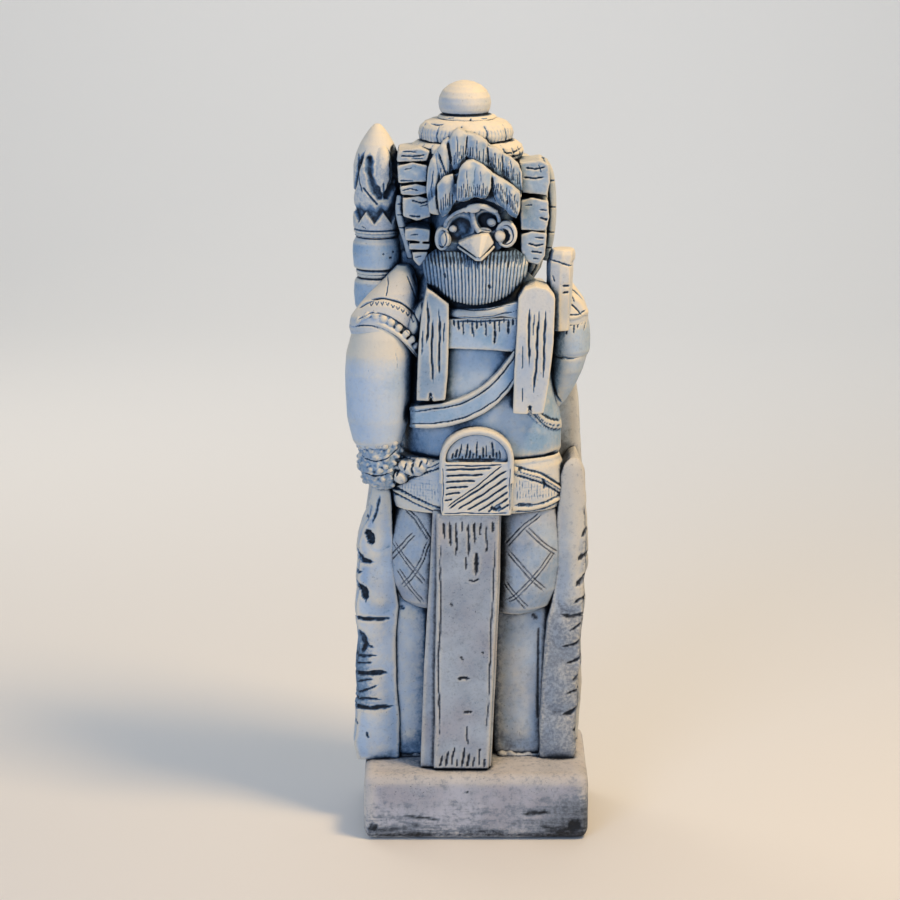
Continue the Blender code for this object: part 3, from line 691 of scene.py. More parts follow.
hanging_outline = {
    "left": [
        (-72, 62), (-112, 62), (-115.5, 80), (-113.5, 108), (-114.5, 117), (-111.5, 124),
        (-113.5, 146), (-112.5, 163), (-110.5, 178), (-113, 199), (-113.5, 214), (-111, 226),
        (-112.5, 240), (-110.5, 257), (-111.5, 270), (-107, 287), (-101, 300), (-96.5, 318),
        (-93, 332), (-81, 332), (-78, 300), (-76, 262), (-74, 228), (-72, 213), (-75, 180),
        (-74.5, 140), (-71.5, 105),
    ],
    "right": [
        (60, 62), (60, 100), (62.5, 150), (66, 196), (70, 214), (74, 248), (74, 296), (78, 338),
        (87, 352), (93, 355), (98.5, 342), (101.5, 312), (104, 284), (104.5, 250), (100.5, 237),
        (102.5, 220), (100.5, 200), (98.2, 178), (99.5, 156), (95.5, 140), (98, 122), (94.5, 104),
        (94.5, 80), (92.5, 62),
    ],
}
hanging_cuts = {
    "left": [
        ([(-122, 204), (-104, 200.5), (-77, 201.5)], 4.4, 2.6),
        ([(-122, 168), (-104, 165), (-91, 166.5)], 3.2, 1.8),
        ([(-114, 158), (-95, 158.5)], 2.2, 1.2),
        ([(-124, 150), (-104, 147.5), (-79, 148.5)], 5.0, 2.6),
        ([(-114, 128), (-98, 134), (-90, 138)], 2.6, 1.4),
        ([(-118, 122), (-100, 123.5), (-88, 122)], 3.0, 1.6),
        ([(-124, 116), (-100, 114.5), (-75, 115)], 5.0, 2.6),
        ([(-112, 140), (-94, 143)], 2.2, 1.1), ([(-107, 176), (-95, 174)], 2.4, 1.2),
        ([(-118, 192), (-106, 185), (-103, 176), (-108, 166)], 7.0, 2.6),
        ([(-102, 288), (-98, 281), (-97, 272)], 8.5, 4.0),
        ([(-118, 270), (-105, 258), (-94, 257)], 7.0, 3.2), ([(-119, 244), (-105, 247)], 4.5, 2.0),
        ([(-118, 236), (-104, 230), (-103, 216)], 7.5, 3.0),
        ([(-89, 322), (-92, 306), (-96, 292)], 3.4, 1.2), ([(-106, 304), (-99, 297)], 4.4, 2.0),
        ([(-103, 92), (-101, 84)], 3.0, 0.9), ([(-120, 100), (-110, 98)], 5.0, 1.8),
    ],
    "right": [
        ([(78, 206), (88, 203.5), (106, 206)], 3.6, 1.9),
        ([(80, 174), (90, 176), (108, 185)], 3.0, 1.6),
        ([(82, 157), (92, 160), (108, 170)], 2.8, 1.4),
        ([(79, 106), (88, 108.5), (104, 119)], 4.0, 2.2),
        ([(89, 141), (96, 146), (108, 152)], 3.4, 1.6),
        ([(86, 190), (94, 194), (106, 202)], 2.6, 1.1),
        ([(108, 246), (98, 239), (92, 232)], 6.5, 2.8),
        ([(110, 266), (99, 262), (94, 257)], 5.0, 2.2),
        ([(109, 290), (101, 286), (97, 280)], 4.5, 1.8),
        ([(104, 222), (96, 220), (91, 216)], 3.4, 1.4),
        ([(84, 128), (92, 131), (104, 134)], 2.6, 1.2),
        ([(102, 96), (95, 92), (90, 92)], 4.0, 1.5),
    ],
}
# the cloth swells between the nicks
hanging_swell = {
    "left": [
        ([(-93, 78), (-94, 102)], 42, 4.5), ([(-93, 130), (-94, 134)], 34, 3.5),
        ([(-93, 166), (-94, 184)], 42, 4.0), ([(-92, 222), (-94, 262)], 36, 5.0),
        ([(-93, 262), (-87, 322)], 26, 4.0),
    ],
    "right": [
        ([(80, 78), (82, 92)], 40, 4.0), ([(82, 128), (82, 142)], 40, 4.5),
        ([(86, 186), (86, 192)], 34, 3.5), ([(90, 222), (90, 296), (88, 345)], 32, 5.0),
    ],
}
# limewash painted cream towards the top, as lit by the warm lamp, and painted shade further down
top_lit_stone = cast_stone(
    "cast_stone_painted_top_light", "#BAC4CE", "#A3B0BE", grey=0.6, pits=0.9, lit_band=(210, 340),
)
for side, outline in hanging_outline.items():
    hanging = cast(f"cape_edge_{side}", [plate(outline, -25, 31)], FINE_GRAIN, 12)
    build_up(hanging, hanging_swell[side])
    folds(hanging, side, spacing=19.0, depth=2.2, low=74, high=316)
    weather(hanging, 1.1, 17.0)
    carve(hanging, hanging_cuts[side], facing_from=-0.05, darken=0.62)
    places, _ = surface(hanging)
    if side == "left":
        damp_and_shade = 0.5 * smoothstep(-92, -110, places[:, 0])
        damp_and_shade = damp_and_shade * smoothstep(196, 170, places[:, 2]) * smoothstep(104, 124, places[:, 2])
    else:
        # painted shade: the right hanging darkens towards its foot
        damp_and_shade = 0.26 * smoothstep(250, 190, places[:, 2])
    tint(hanging, damp_and_shade)
    nicks = [([(-22, z + 1), (4, z), (28, z + 2)], 3.0, 1.6) for z in (115, 148, 201, 262)]
    carve(hanging, nicks, side)
    stone = top_lit_stone if side == "right" else lit_left_stone
    place(hanging, stone, "stone_low", f"pillar_{side}")

# ---------------------------------------------------------------- apron
# A long plank of stone hangs from the belt to the plinth, its edges beaded with a wavy cut
# line and its ends snipped into a fringe.


def comb(foot, head, count, width=1.5, depth=1.2, uneven=0.35):
    """Cuts side by side from one line to another, of uneven length."""
    cuts = []
    for index in range(count):
        share = (index + 0.5) / count
        low = [a + (b - a) * share for a, b in zip(*foot)]
        high = [a + (b - a) * share for a, b in zip(*head)]
        stop = 1 - uneven * (0.5 + 0.5 * math.sin(index * 2.4 + 0.7))
        tip = [a + (b - a) * stop for a, b in zip(low, high)]
        cuts.append(
            ([tuple(low), tuple(tip)], width * (0.85 + 0.3 * math.sin(index * 1.7)), depth)
        )
    return cuts


# gritty cement with most of its limewash worn off: flat grey, sandy, full of pinholes
apron_stone = cast_stone("gritty_cast_stone", "#B2BCC6", "#98A2AF", grey=1.0, pits=1.0)
apron_front = [
    (-36.5, 311), (21.0, 311), (19.5, 240), (16.0, 160), (13.5, 100), (11.5, 65), (-39.5, 65),
    (-38, 110), (-38, 160), (-36.5, 240),
]
apron_back = [
    (-40, 312), (22.5, 312), (21.5, 240), (18.5, 160), (14, 64), (-52, 64), (-48.5, 160),
    (-43, 250),
]
apron = cast(
    "apron", [plate(apron_front, -59.6, -36, 1.04), plate(apron_back, -52.5, -30)], FINE_GRAIN, 5,
)
weather(apron, 0.7, 22.0)
apron_cuts = comb(((-33, 305), (18, 305)), ((-32, 262), (17, 270)), 9, 2.4, 1.7, 0.7)
apron_cuts += comb(((-36, 66), (10, 66)), ((-31, 92), (10, 88)), 9, 2.4, 1.6, 0.6)
apron_cuts += [
    (
        [
            (-32, 300), (-33.6, 246.8), (-32.3, 217.5), (-34.6, 188), (-35.4, 148.6), (-33.2, 113),
            (-36.5, 74),
        ],
        1.8, 1.1,
    ),
    ([(17.0, 300), (15.8, 246), (13.4, 200), (12.2, 150), (10.0, 110), (8.0, 74)], 1.6, 1.0),
    ([(-0.6, 276), (0.2, 263), (-0.5, 251)], 4.4, 2.6), ([(-9.5, 272), (-9, 256)], 1.8, 1.0),
    ([(-8.5, 249.5), (-2, 246.5), (4.5, 249.5)], 2.0, 1.2),
    ([(-18.3, 152.6), (-12, 154), (-5.0, 152.6)], 3.4, 1.4),
    ([(-12.6, 120.8), (-3.1, 120.8)], 3.0, 1.4), ([(-7.8, 110), (-9, 98), (-7.8, 88)], 1.8, 1.3),
    ([(-15, 175), (-12, 170)], 2.2, 0.9), ([(-24, 226), (-22, 222)], 2.4, 0.9),
    ([(4, 180), (7, 178)], 2.0, 0.8),
]
carve(apron, apron_cuts, darken=0.65)
place(apron, apron_stone, "stone_low", "apron")

# ---------------------------------------------------------------- belt and buckle
# A wide cloth belt wound round the waist, bound by slanting cords that show a woven weft,
# and in front a plate with a fan in its arch and two fields of cuts that meet on a slant.


def pebble(centre, half, turn=0.0):
    """An oval lump, turned by degrees in the plane that faces front."""
    bpy.ops.object.select_all(action="DESELECT")
    bpy.ops.mesh.primitive_uv_sphere_add(
        segments=28, ring_count=18, radius=1.0, location=mm(*centre), scale=mm(*half),
        rotation=(0, math.radians(-turn), 0),
    )
    bpy.ops.object.transform_apply(location=True, rotation=True, scale=True)
    return bpy.context.object


def roll(path, radius):
    """A round cord through points in mm."""
    bpy.ops.object.select_all(action="DESELECT")
    line = bpy.data.curves.new("roll", "CURVE")
    line.dimensions = "3D"
    line.bevel_depth = mm(radius)
    line.bevel_resolution = 4
    line.use_fill_caps = True
    spline = line.splines.new("POLY")
    spline.points.add(len(path) - 1)
    for point, spot in zip(spline.points, path):
        point.co = (*mm(*spot), 1.0)
    cord = bpy.data.objects.new("roll", line)
    bpy.context.scene.collection.objects.link(cord)
    only(cord)
    bpy.ops.object.convert(target="MESH")
    return bpy.context.object


def eased(path, rounds=2):
    """A path with its corners cut, so that a drawn line bends instead of breaking."""
    for _ in range(rounds):
        cut = [path[0]]
        for a, b in zip(path, path[1:]):
            cut.append(tuple(0.75 * p + 0.25 * q for p, q in zip(a, b)))
            cut.append(tuple(0.25 * p + 0.75 * q for p, q in zip(a, b)))
        path = cut + [path[-1]]
    return path


# thick limewash rubbed smooth by hands and weather: chalk blue below and painted creamy on top, as
# lit by the warm lamp
high_stone = cast_stone("limewashed_cast_stone", "#DDDCD6", "#B9C6D4", warm="#EFE2C6", pits=0.25)
belt_rings = [
    (308, 0.5, -11, 77.5, 42), (316, 0.5, -12, 80, 43.5), (333, 0.5, -12, 80.6, 44.5),
    (350, 0.5, -12, 79.5, 44), (358, 0.5, -11, 76, 42),
]
belt = cast("belt", [limb(belt_rings, 48)], FINE_GRAIN, 5)
weather(belt, 0.9, 11.0)
cord_left = eased([(-80, 331), (-63, 343), (-46, 351.5), (-31, 357.5)])
cord_right = eased([(34, 350.5), (53.7, 343.5), (66, 336), (82, 322)])
foot_left = eased([(-80, 327), (-66, 323), (-50, 316), (-30, 310.5)])
foot_right = eased([(33, 313), (50, 312), (66, 313.5), (82, 318)])
belt_cords = [(path, 7.0, 1.8) for path in (cord_left, cord_right)]
belt_cords += [(path, 5.0, 1.2) for path in (foot_left, foot_right)]
build_up(belt, belt_cords)
build_up(belt, [([(-66, 357), (-34, 361)], 8, 1.6), ([(34, 358), (80, 358)], 8, 1.4)])
belt_cuts = [(path, 1.5, 1.2) for path in (cord_left, cord_right)]
cord_edges = [
    (cord_left, 4.2), (cord_left, -4.2), (cord_right, 4.2), (cord_right, -4.2),
    (foot_left, 3.2), (foot_right, 3.4), (foot_left, -2.8), (foot_right, -2.8),
]
for path, lift in cord_edges:
    belt_cuts.append(([(u, v + lift) for u, v in path], 2.0, 1.2))
belt_cuts += [
    ([(-62 + i * 7.5, 352 + i * 1.2), (-65 + i * 7.5, 346 + i * 2)], 2.2, 1.3)
    for i in range(3)
]
belt_cuts += [
    ([(-60, 361), (-64, 353), (-60, 349)], 1.8, 1.3), ([(-50, 361), (-55, 354)], 1.8, 1.3),
]
carve(belt, belt_cuts, darken=0.5, taper=0.1)
weft = [
    ([(x, 346 - abs(x + 33) * 0.32), (x + 0.4, 314 + abs(x + 33) * 0.2)], 1.0, 0.3)
    for x in np.arange(-68, -33, 2.7)
]
weft += [([(-70, z), (-34, z + 1)], 1.0, 0.2) for z in np.arange(321, 345, 3.0)]
weft += [([(x, 347 - (x - 34) * 0.35), (x + 0.4, 318)], 1.0, 0.38) for x in np.arange(37, 76, 2.7)]
weft += [([(37, z), (74, z)], 1.0, 0.2) for z in np.arange(321, 345, 3.0)]
carve(belt, weft, darken=0.25)
gouges = [([(38, 352), (41, 349.5)], 4, 1.6), ([(60, 341), (63, 334), (62, 328)], 3.0, 1.6)]
gouges.append(([(36, 318), (52, 317)], 2.4, 1.2))
carve(belt, gouges, darken=0.7)
carve(
    belt, [([(x, 356), (x, 311)], 3.0, 1.2) for x in np.arange(-66, 70, 16.5)], "back", darken=0.8,
)
carve(belt, [([(-78, z), (78, z)], 2.4, 1.2) for z in (321, 346)], "back")
place(belt, high_stone, "stone_high", "belt")

arch = [
    (-33.5 + 33.5 * (1 - math.cos(math.pi * i / 16)), 362 + 29.0 * math.sin(math.pi * i / 16))
    for i in range(17)
]
plate_outline = [(-32.5, 309.5), (-33.5, 335)] + arch + [(33.2, 335), (31.8, 309.5)]
rim_path = [(x * 0.93, -59.6, 362 + (z - 362) * 0.9) for x, z in arch]
rim_path = [(-31.5, -59.6, 340)] + rim_path + [(31, -59.6, 340)]
field = [(-32, 309.8), (-32, 359.5), (30.8, 359.5), (30.8, 309.8)]
buckle = cast(
    "buckle_plate",
    [plate(plate_outline, -57.0, -42), roll(rim_path, 2.9), plate(field, -61.2, -50)], 0.75, 3,
)
slant_top, slant_foot = (24.0, 357), (-27.5, 317.5)
slant_run = slant_top[0] - slant_foot[0]
buckle_cuts = [([(-29.5, 356.2), (24, 356.8)], 1.5, 1.4)]
for row in range(6):
    z = 352.0 - row * 5.6
    stop = slant_foot[0] + (z - slant_foot[1]) / (slant_top[1] - slant_foot[1]) * slant_run - 3.0
    buckle_cuts.append(([(-29, z), (stop, z + 0.8 + (stop + 29) * 0.035)], 2.9 - 0.12 * row, 1.6))
buckle_cuts.append(([slant_foot, (-1, 336.5), slant_top], 1.6, 1.4))
slants = [
    [(-26, 315.5), (28.5, 352.5)], [(-18, 314.4), (29.2, 345.5)], [(-9.5, 313.8), (29.4, 338.5)],
    [(0.5, 313.4), (29.4, 332)], [(9.5, 313.2), (29.5, 326)], [(19, 313.2), (29.3, 320)],
]
buckle_cuts += [(slant, 2.7, 1.5) for slant in slants]
buckle_cuts += [
    ([(12, 317.5), (18, 315.5), (22, 318)], 5.5, 2.4), ([(-30.6, 356), (-30.8, 312)], 1.4, 0.9),
    ([(30.2, 356), (30.0, 313)], 1.4, 0.9),
]
buckle_cuts.append(([(-31, 311.8), (30, 311.8)], 1.5, 0.9))
carve(buckle, buckle_cuts, taper=0.08, darken=0.42)
fan_cuts = comb(((-24, 361), (23, 361)), ((-20, 380), (20, 380)), 15, 2.1, 1.7, 0.8)
fan_cuts.append(([(-25, 360.6), (0, 361.2), (24.5, 360.6)], 3.0, 1.2))
carve(buckle, fan_cuts, darken=0.5)
u, v, faces, places = seen(buckle, "front", 0.0)
from_arch = np.hypot(u / 27.0, (v - 361) / 24.5)
# painted shade in the recess under the arch, darkest at its foot
under_arch = smoothstep(1.0, 0.72, from_arch) * (v > 360) * (places[:, 1] > -58.6)
press(buckle, np.zeros(len(u)), 0.42 * under_arch * smoothstep(380, 361, v))
place(buckle, high_stone, "stone_high", "buckle_plate", "buckle_fan")

# ---------------------------------------------------------------- body, collar and sash
# The bare body with its belly, seen between the hangings. A cord collar lies above a short
# fringed bib, and a sash with rolled edges crosses from one hip to the other shoulder.

# limewash worn thin, the blue wash under it showing through: pale slate blue, chalky
mid_stone = cast_stone("worn_limewashed_stone", "#B6C9DB", "#8CAECC", grey=0.3, pits=0.5)
body_rings = [
    (350, 6, -4, 62, 36), (354, 6, -4, 69, 41), (361, 6, -4, 72.5, 44), (385, 5, -4, 73.5, 44.5),
    (408, 4, -4, 72, 43), (440, 3, -3, 68, 38.5), (480, 2, -2, 70, 37), (505, 1, -1, 66, 35),
    (524, 0, 0, 48, 32),
]
body = cast("body", [limb(body_rings, 48)], SKIN_GRAIN, 4)
weather(body, 1.0, 18.0)
carve(
    body, [([(-60, 359), (-20, 356)], 3.5, 1.2), ([(34, 358), (60, 356), (78, 362)], 3.5, 1.2)],
    darken=0.8,
)
strap = eased([(46, 409), (55, 398), (62, 391), (71, 386), (82, 383.5)])
build_up(body, [(strap, 9.5, 1.8)], profile=5.0)
strap_cuts = [([(x + 1.6, z + side * 4.4) for x, z in strap], 1.8, 1.3) for side in (-1, 1)]
strap_cuts.append((strap, 1.2, 0.8))
carve(body, strap_cuts, taper=0.1)
place(body, mid_stone, "stone_mid", "torso", "sash_end")

collar_path = [
    (-27, -40, 493.5), (-10, -47, 494.5), (8, -49, 495.5), (24, -47, 497.5), (40, -40, 500),
]
collar_end = plate([(14, 494), (40, 490), (40, 507), (14, 500)], -50.5, -38)
collar = cast("collar_cord", [roll(eased(collar_path), 5.2), collar_end], 0.8, 3)
carve(
    collar,
    [
        ([(-24, 491.0), (-5, 491.6), (14, 493), (30, 496), (38, 499)], 1.6, 1.2),
        ([(-22, 498.5), (10, 499.5), (36, 504)], 1.2, 0.6),
    ],
)
place(collar, mid_stone, "stone_mid", "collar_roll")

bib = cast(
    "fringed_bib",
    [plate([(-28, 490), (38, 492), (37, 459.5), (10, 461.5), (-28, 463.0)], -50.0, -34)], 0.8, 6,
)
weather(bib, 0.7, 9.0)
bib_cuts = comb(((-23, 490), (35, 491)), ((-23, 471), (35, 474)), 14, 2.1, 1.7, 0.75)
bib_cuts += [
    ([(16, 482), (16.4, 474), (15.2, 466)], 2.6, 1.9), ([(-4, 484), (-3, 472)], 1.8, 1.3),
    ([(-26, 487.5), (36, 489)], 2.2, 1.2),
]
carve(bib, bib_cuts)
place(bib, mid_stone, "stone_mid", "chest_fringe")

sash_top = eased(
    [(-60.5, 409.5), (-45, 411.5), (-29, 413), (-7, 420), (13, 434), (28, 452.5), (34, 462)]
)
sash_foot = eased(
    [(-60.5, 390.5), (-45, 389.5), (-29, 390.5), (-7, 396.5), (13, 407), (31, 426), (37, 435)]
)
sash = cast("sash", [plate(sash_top + sash_foot[::-1], -53.0, -36)], 0.8, 3)
build_up(
    sash,
    [
        ([(u + 0.4, v - 1.8) for u, v in sash_top], 4.6, 1.0),
        ([(u - 0.4, v + 1.6) for u, v in sash_foot], 4.6, 0.9),
    ],
)
weather(sash, 0.6, 12.0)
carve(
    sash,
    [
        ([(u + 1.2, v - 4.6) for u, v in sash_top], 1.5, 1.2),
        ([(u - 0.9, v + 4.2) for u, v in sash_foot], 1.4, 1.1),
    ],
    taper=0.1,
)
# painted shadow: the sash's left end darkens where the arm shades it
places, _ = surface(sash)
tint(sash, 0.7 * smoothstep(-53, -60, places[:, 0]))
place(sash, mid_stone, "stone_mid", "sash")

# ---------------------------------------------------------------- lappets
# Two flat stone ribbons hang from the shoulders down the chest. Each was scored lengthwise
# with three long cuts and ends in a notch.
lappet_outline = {
    "left": [
        (-45.5, 519), (-40, 516), (-35, 512.5), (-30, 508.5), (-25.5, 505), (-25.5, 470),
        (-26.5, 440), (-28.6, 416.5), (-39.6, 415.5), (-41.6, 420.5), (-43.4, 415.8),
        (-54.6, 416.2), (-53.8, 440), (-52.4, 470), (-50.0, 495),
    ],
    "right": [
        (37.2, 511), (42, 519), (52.5, 522), (64, 519), (70.2, 511), (69, 470), (66, 440),
        (62.8, 418), (60.2, 405), (50.2, 404), (47.9, 408.5), (45.8, 404), (33.0, 405),
        (33.6, 440), (36, 480),
    ],
}
lappet_cuts = {
    "left": [
        ([(-44.6, 510), (-44, 490), (-45, 466)], 2.6, 2.0),
        ([(-40.2, 497), (-40.6, 460), (-40, 427)], 2.5, 1.9),
        ([(-34.2, 504), (-33.6, 470), (-34.6, 434)], 2.4, 1.8),
        ([(-48.8, 485), (-49.2, 455)], 1.5, 0.9), ([(-30, 492), (-30.2, 468)], 1.4, 0.9),
        ([(-41.7, 424), (-41.7, 415)], 3.4, 2.2),
    ],
    "right": [
        ([(46.5, 507), (47.2, 478), (46.8, 447)], 2.7, 2.1),
        ([(55.8, 504), (54, 460), (51.2, 418)], 2.6, 2.0),
        ([(61.4, 503), (61, 470), (59.4, 434)], 2.5, 1.9), ([(41, 470), (40.6, 442)], 1.4, 0.8),
        ([(47.9, 413), (47.9, 403)], 3.6, 2.2), ([(42, 430), (41, 414)], 1.4, 0.8),
        ([(51, 500), (51, 474)], 1.3, 0.8),
    ],
}
# more of the slate wash left on: a duller blue, as in the hollows behind the beard
slate_stone = cast_stone("slate_washed_stone", "#A9BCCD", "#819FBA", grey=0.3, pits=0.5)
for side, front, stone, slot_name in (
    ("left", -56.8, slate_stone, "stone_mid"), ("right", -59.6, high_stone, "stone_high"),
):
    lappet = cast(f"lappet_{side}", [plate(lappet_outline[side], front, -22)], 0.85, 6)
    weather(lappet, 0.7, 14.0)
    carve(lappet, lappet_cuts[side])
    place(lappet, stone, slot_name, f"lappet_{side}")

# ---------------------------------------------------------------- the arm on the left
# A stout bare arm bends at the hip. A cap sleeve with a nicked band and a row of beads covers
# the shoulder, and a beaded cuff holds the wrist where the fist meets the belt.
arm_rings = [
    (364, -90, -32, 16, 16), (374, -90.5, -32, 23, 22), (395, -90.2, -31, 28.2, 26.5),
    (420, -90.0, -30, 30.0, 28.5), (438, -89.8, -29.5, 30.3, 29), (456, -88.2, -28, 30.6, 28),
    (472, -86, -26, 28.5, 27), (488, -83, -24, 24, 24),
]
# the smoothest limewash, with few pinholes: blue below and painted cream near the shoulder, as lit
# by the warm lamp from above
arm_stone = cast_stone(
    "smooth_limewashed_stone", "#C6D5E4", "#ABC3DB", pits=0.15, lit_band=(440, 462),
)
forearm = cast("forearm_left", [limb(arm_rings, 44)], FINE_GRAIN, 8)
weather(forearm, 0.45, 24.0)
carve(
    forearm,
    [([(-74, 462), (-72, 452), (-73, 441)], 1.0, 0.35), ([(-98, 446), (-97, 436)], 1.0, 0.25)],
    darken=0.25,
)
place(forearm, arm_stone, "stone_mid", "forearm_left")

sleeve_rings = [
    (470, -85, -23, 29, 26), (478, -85, -23, 31.5, 28), (489, -83.5, -21.5, 30.5, 28),
    (500, -79.5, -20, 26, 26), (511, -74.5, -18, 21.5, 23), (521, -70, -16, 15.5, 18.5),
    (529, -67.5, -15, 10.5, 13.5), (534, -67, -14, 5.5, 8),
]
edge_path = eased(
    [
        (-113, -18, 476), (-110.5, -32, 480), (-99, -43, 486.0), (-86, -49.5, 485),
        (-74, -50, 478.5), (-64, -48.5, 469), (-57, -44, 460), (-52.5, -36, 453), (-52, -22, 450),
    ],
    2,
)
sleeve_parts = [
    limb(sleeve_rings, 44), roll(edge_path, 2.4), pebble((-56, -24, 482), (9, 22, 26), -28),
]
beads = [
    (-105.5, -39, 486.5), (-98.4, -43, 491.0), (-91.4, -46.5, 491.6), (-84.2, -48.6, 489.8),
    (-77.2, -49.4, 486.6), (-70.4, -49.6, 482.0), (-64.2, -49, 476.4), (-59.2, -47, 470.6),
    (-55.2, -44, 464.6), (-52.6, -39, 458.6),
]
sleeve_parts += [pebble(spot, (3.3, 3.0, 3.3)) for spot in beads]
sleeve = cast("shoulder_and_armlet", sleeve_parts, 0.8, 4)
band = eased(
    [(-113, 487), (-104, 495), (-92, 500), (-80, 499), (-69, 493), (-60, 484), (-52, 472)]
)
build_up(sleeve, [(band, 13.0, 1.5)], profile=6.0)
band_top = eased(
    [(-112, 494), (-102, 500.5), (-92, 507), (-81, 508), (-68, 503.5), (-58.5, 494), (-49, 481)]
)
band_foot = eased(
    [(-111, 485), (-103, 491), (-93, 496), (-83, 494.5), (-73, 489), (-64, 481), (-55, 470)]
)
hem_line = eased(
    [(-113, 480.5), (-99, 484.2), (-86, 481.5), (-74, 475.5), (-64, 466.5), (-57, 458), (-53, 450)]
)
sleeve_cuts = [
    (band_top, 1.9, 1.5), (band_foot, 1.2, 0.8), (hem_line, 1.6, 1.2),
    ([(-82, 533), (-80, 520), (-83, 508)], 1.2, 0.9),
    ([(-58, 528), (-52, 512), (-48, 494)], 2.4, 1.5),
    ([(-63, 527), (-57, 512), (-53, 497)], 1.4, 0.8),
]
nicks = (
    (-96, 502.0, 0.5), (-91, 503.6, 0.4), (-86, 504.0, 0.2), (-81, 503.6, 0.0), (-76, 501.6, -0.2),
    (-71.5, 499.6, -0.3), (-67, 496.6, -0.5), (-62.5, 492.6, -0.6), (-58.4, 487.4, -0.8),
)
for spot_u, spot_v, slope in nicks:
    sleeve_cuts.append(
        (
            [
                (spot_u - 1.6, spot_v + 1.8 - 1.4 * slope), (spot_u, spot_v - 1.4),
                (spot_u + 1.9, spot_v + 1.6 + 1.4 * slope),
            ],
            1.2, 0.9,
        )
    )
carve(sleeve, sleeve_cuts, taper=0.12, darken=0.5)
place(sleeve, high_stone, "stone_high", "shoulder_left", "armlet_left")

cuff_parts = [
    limb(
        [
            (329, -86, -29, 10, 12), (337, -88, -31, 16, 17.5), (350, -89, -31.5, 19, 20.5),
            (364, -88.5, -32, 19.5, 21), (374, -87, -31, 19, 20),
        ],
        40,
    )
]
# each row of the cuff is (height, lean, number of beads, size of a bead)
bead_rows = (
    (371.5, 0.32, 13, 2.7), (366.0, 0.28, 14, 2.0), (360.0, 0.22, 11, 2.9), (354.0, 0.16, 13, 2.1),
    (348.0, 0.12, 11, 2.7), (341.5, 0.1, 12, 2.2), (335.5, 0.06, 8, 2.6),
)
for row, (height, tilt, count, size) in enumerate(bead_rows):
    for index in range(count):
        turn = math.radians(
            -92 + 184 * (index + 0.4 * math.sin(index * 4.1 + row * 2)) / (count - 1)
        )
        rim = 20.0 - (0.4 if row < 5 else 3.0 * (row - 4))
        x, y = -88 + rim * math.sin(turn), -31.5 - (rim + 1.0) * math.cos(turn)
        lean = tilt * (x + 88) * (1 if x > -88 else -0.25)
        z = height + lean + 1.5 * math.sin(index * 2.6 + row * 1.7)
        lump = size * (0.8 + 0.32 * math.sin(index * 3.7 + row * 2.3))
        cuff_parts.append(
            pebble((x, y, z), (lump * 1.25, lump, lump * 0.95), 40 * math.sin(index + row))
        )
cuff = cast("wrist_cuff_left", cuff_parts, 0.75, 2)
weather(cuff, 1.6, 5.0)
places, _ = surface(cuff)
x, z = places[:, 0], places[:, 2]
tint(cuff, 0.16 + 0.16 * np.sin(x * 0.7 + z * 0.4) * np.sin(z * 0.6 - x * 0.3))
carve(
    cuff,
    [
        (eased([(-109, 363), (-96, 358), (-84, 360), (-68, 371)]), 1.6, 1.2),
        (eased([(-106, 346), (-90, 343.5), (-72, 350)]), 1.6, 1.2),
    ],
)
place(cuff, slate_stone, "stone_mid", "wrist_cuff_left")

fist = cast(
    "fist_left",
    [
        pebble((-60, -40, 350), (15, 11, 7), -16), pebble((-46, -44, 355.5), (11, 6, 4.2), -14),
        pebble((-70, -39, 342), (8, 11, 7), -20), pebble((-52, -45, 352), (8, 7, 5), -18),
    ],
    0.8, 6,
)
weather(fist, 1.4, 6.0)
carve(
    fist,
    [
        ([(-57.4, 358), (-60, 350), (-58, 344)], 2.2, 1.6), ([(-64.4, 356), (-67, 348)], 2.0, 1.4),
        ([(-50, 359), (-53, 352)], 2.0, 1.4), ([(-44, 359.5), (-46.6, 354)], 1.6, 1.1),
        ([(-71, 350), (-74, 343)], 1.8, 1.2),
    ],
)
places, _ = surface(fist)
tint(fist, 0.14 + 0.14 * np.sin(places[:, 0] * 0.9 + places[:, 2] * 0.5))
place(fist, high_stone, "stone_mid", "hand_left")

# ---------------------------------------------------------------- the arm on the right
# The other arm is folded back under a puffed sleeve with a fringed seam. Its hand is hidden
# and holds up a short square baton.
baton = cast(
    "baton",
    [
        limb(
            [
                (476, 75.5, -25, 10.5, 11.5), (495, 75, -25, 11.5, 12),
                (515, 75.2, -24.5, 12.0, 12.5), (537, 75.6, -24, 12.6, 12.8),
                (541, 75.8, -24, 12.0, 12.3),
            ],
            8,
        ),
        limb(
            [
                (540, 77, -24, 12.2, 12.2), (546, 77.4, -24, 12.4, 12.4),
                (550.5, 78, -24, 10.6, 10.8),
            ],
            8,
        ),
    ],
    0.85, 6,
)
weather(baton, 0.6, 10.0)
carve(
    baton,
    [
        ([(64, 541.5), (74, 540), (88.5, 534.5)], 1.8, 1.3),
        ([(77.5, 518.2), (85, 517.6)], 2.5, 1.7), ([(77.5, 511.6), (84.6, 512.0)], 2.5, 1.7),
        ([(68, 528), (71, 521)], 1.4, 0.7),
    ],
)
place(baton, high_stone, "stone_high", "baton")

sleeve_right = cast(
    "sleeve_right",
    [
        limb(
            [
                (480, 83, -6, 19.5, 23), (490, 83, -6, 19.5, 23.5), (502, 80.5, -5, 17.5, 21),
                (513, 77, -4.5, 13, 16), (522, 74.5, -4, 8, 11),
            ],
            36,
        )
    ],
    0.85, 4,
)
build_up(
    sleeve_right,
    [
        (eased([(80, 510), (92, 502), (100, 490)]), 7, 1.6),
        (eased([(78, 488), (90, 487), (102, 492)]), 6, 1.2),
    ],
)
carve(
    sleeve_right,
    [
        (eased([(80, 503), (90, 497), (97, 487)]), 1.8, 1.5),
        (eased([(82, 516), (94, 507), (102, 494)]), 1.5, 1.1), ([(87, 507), (89, 501)], 1.3, 0.8),
        ([(80, 491.0), (92, 490), (102, 494)], 1.5, 1.1),
    ],
)
place(sleeve_right, high_stone, "stone_high", "sleeve_right")

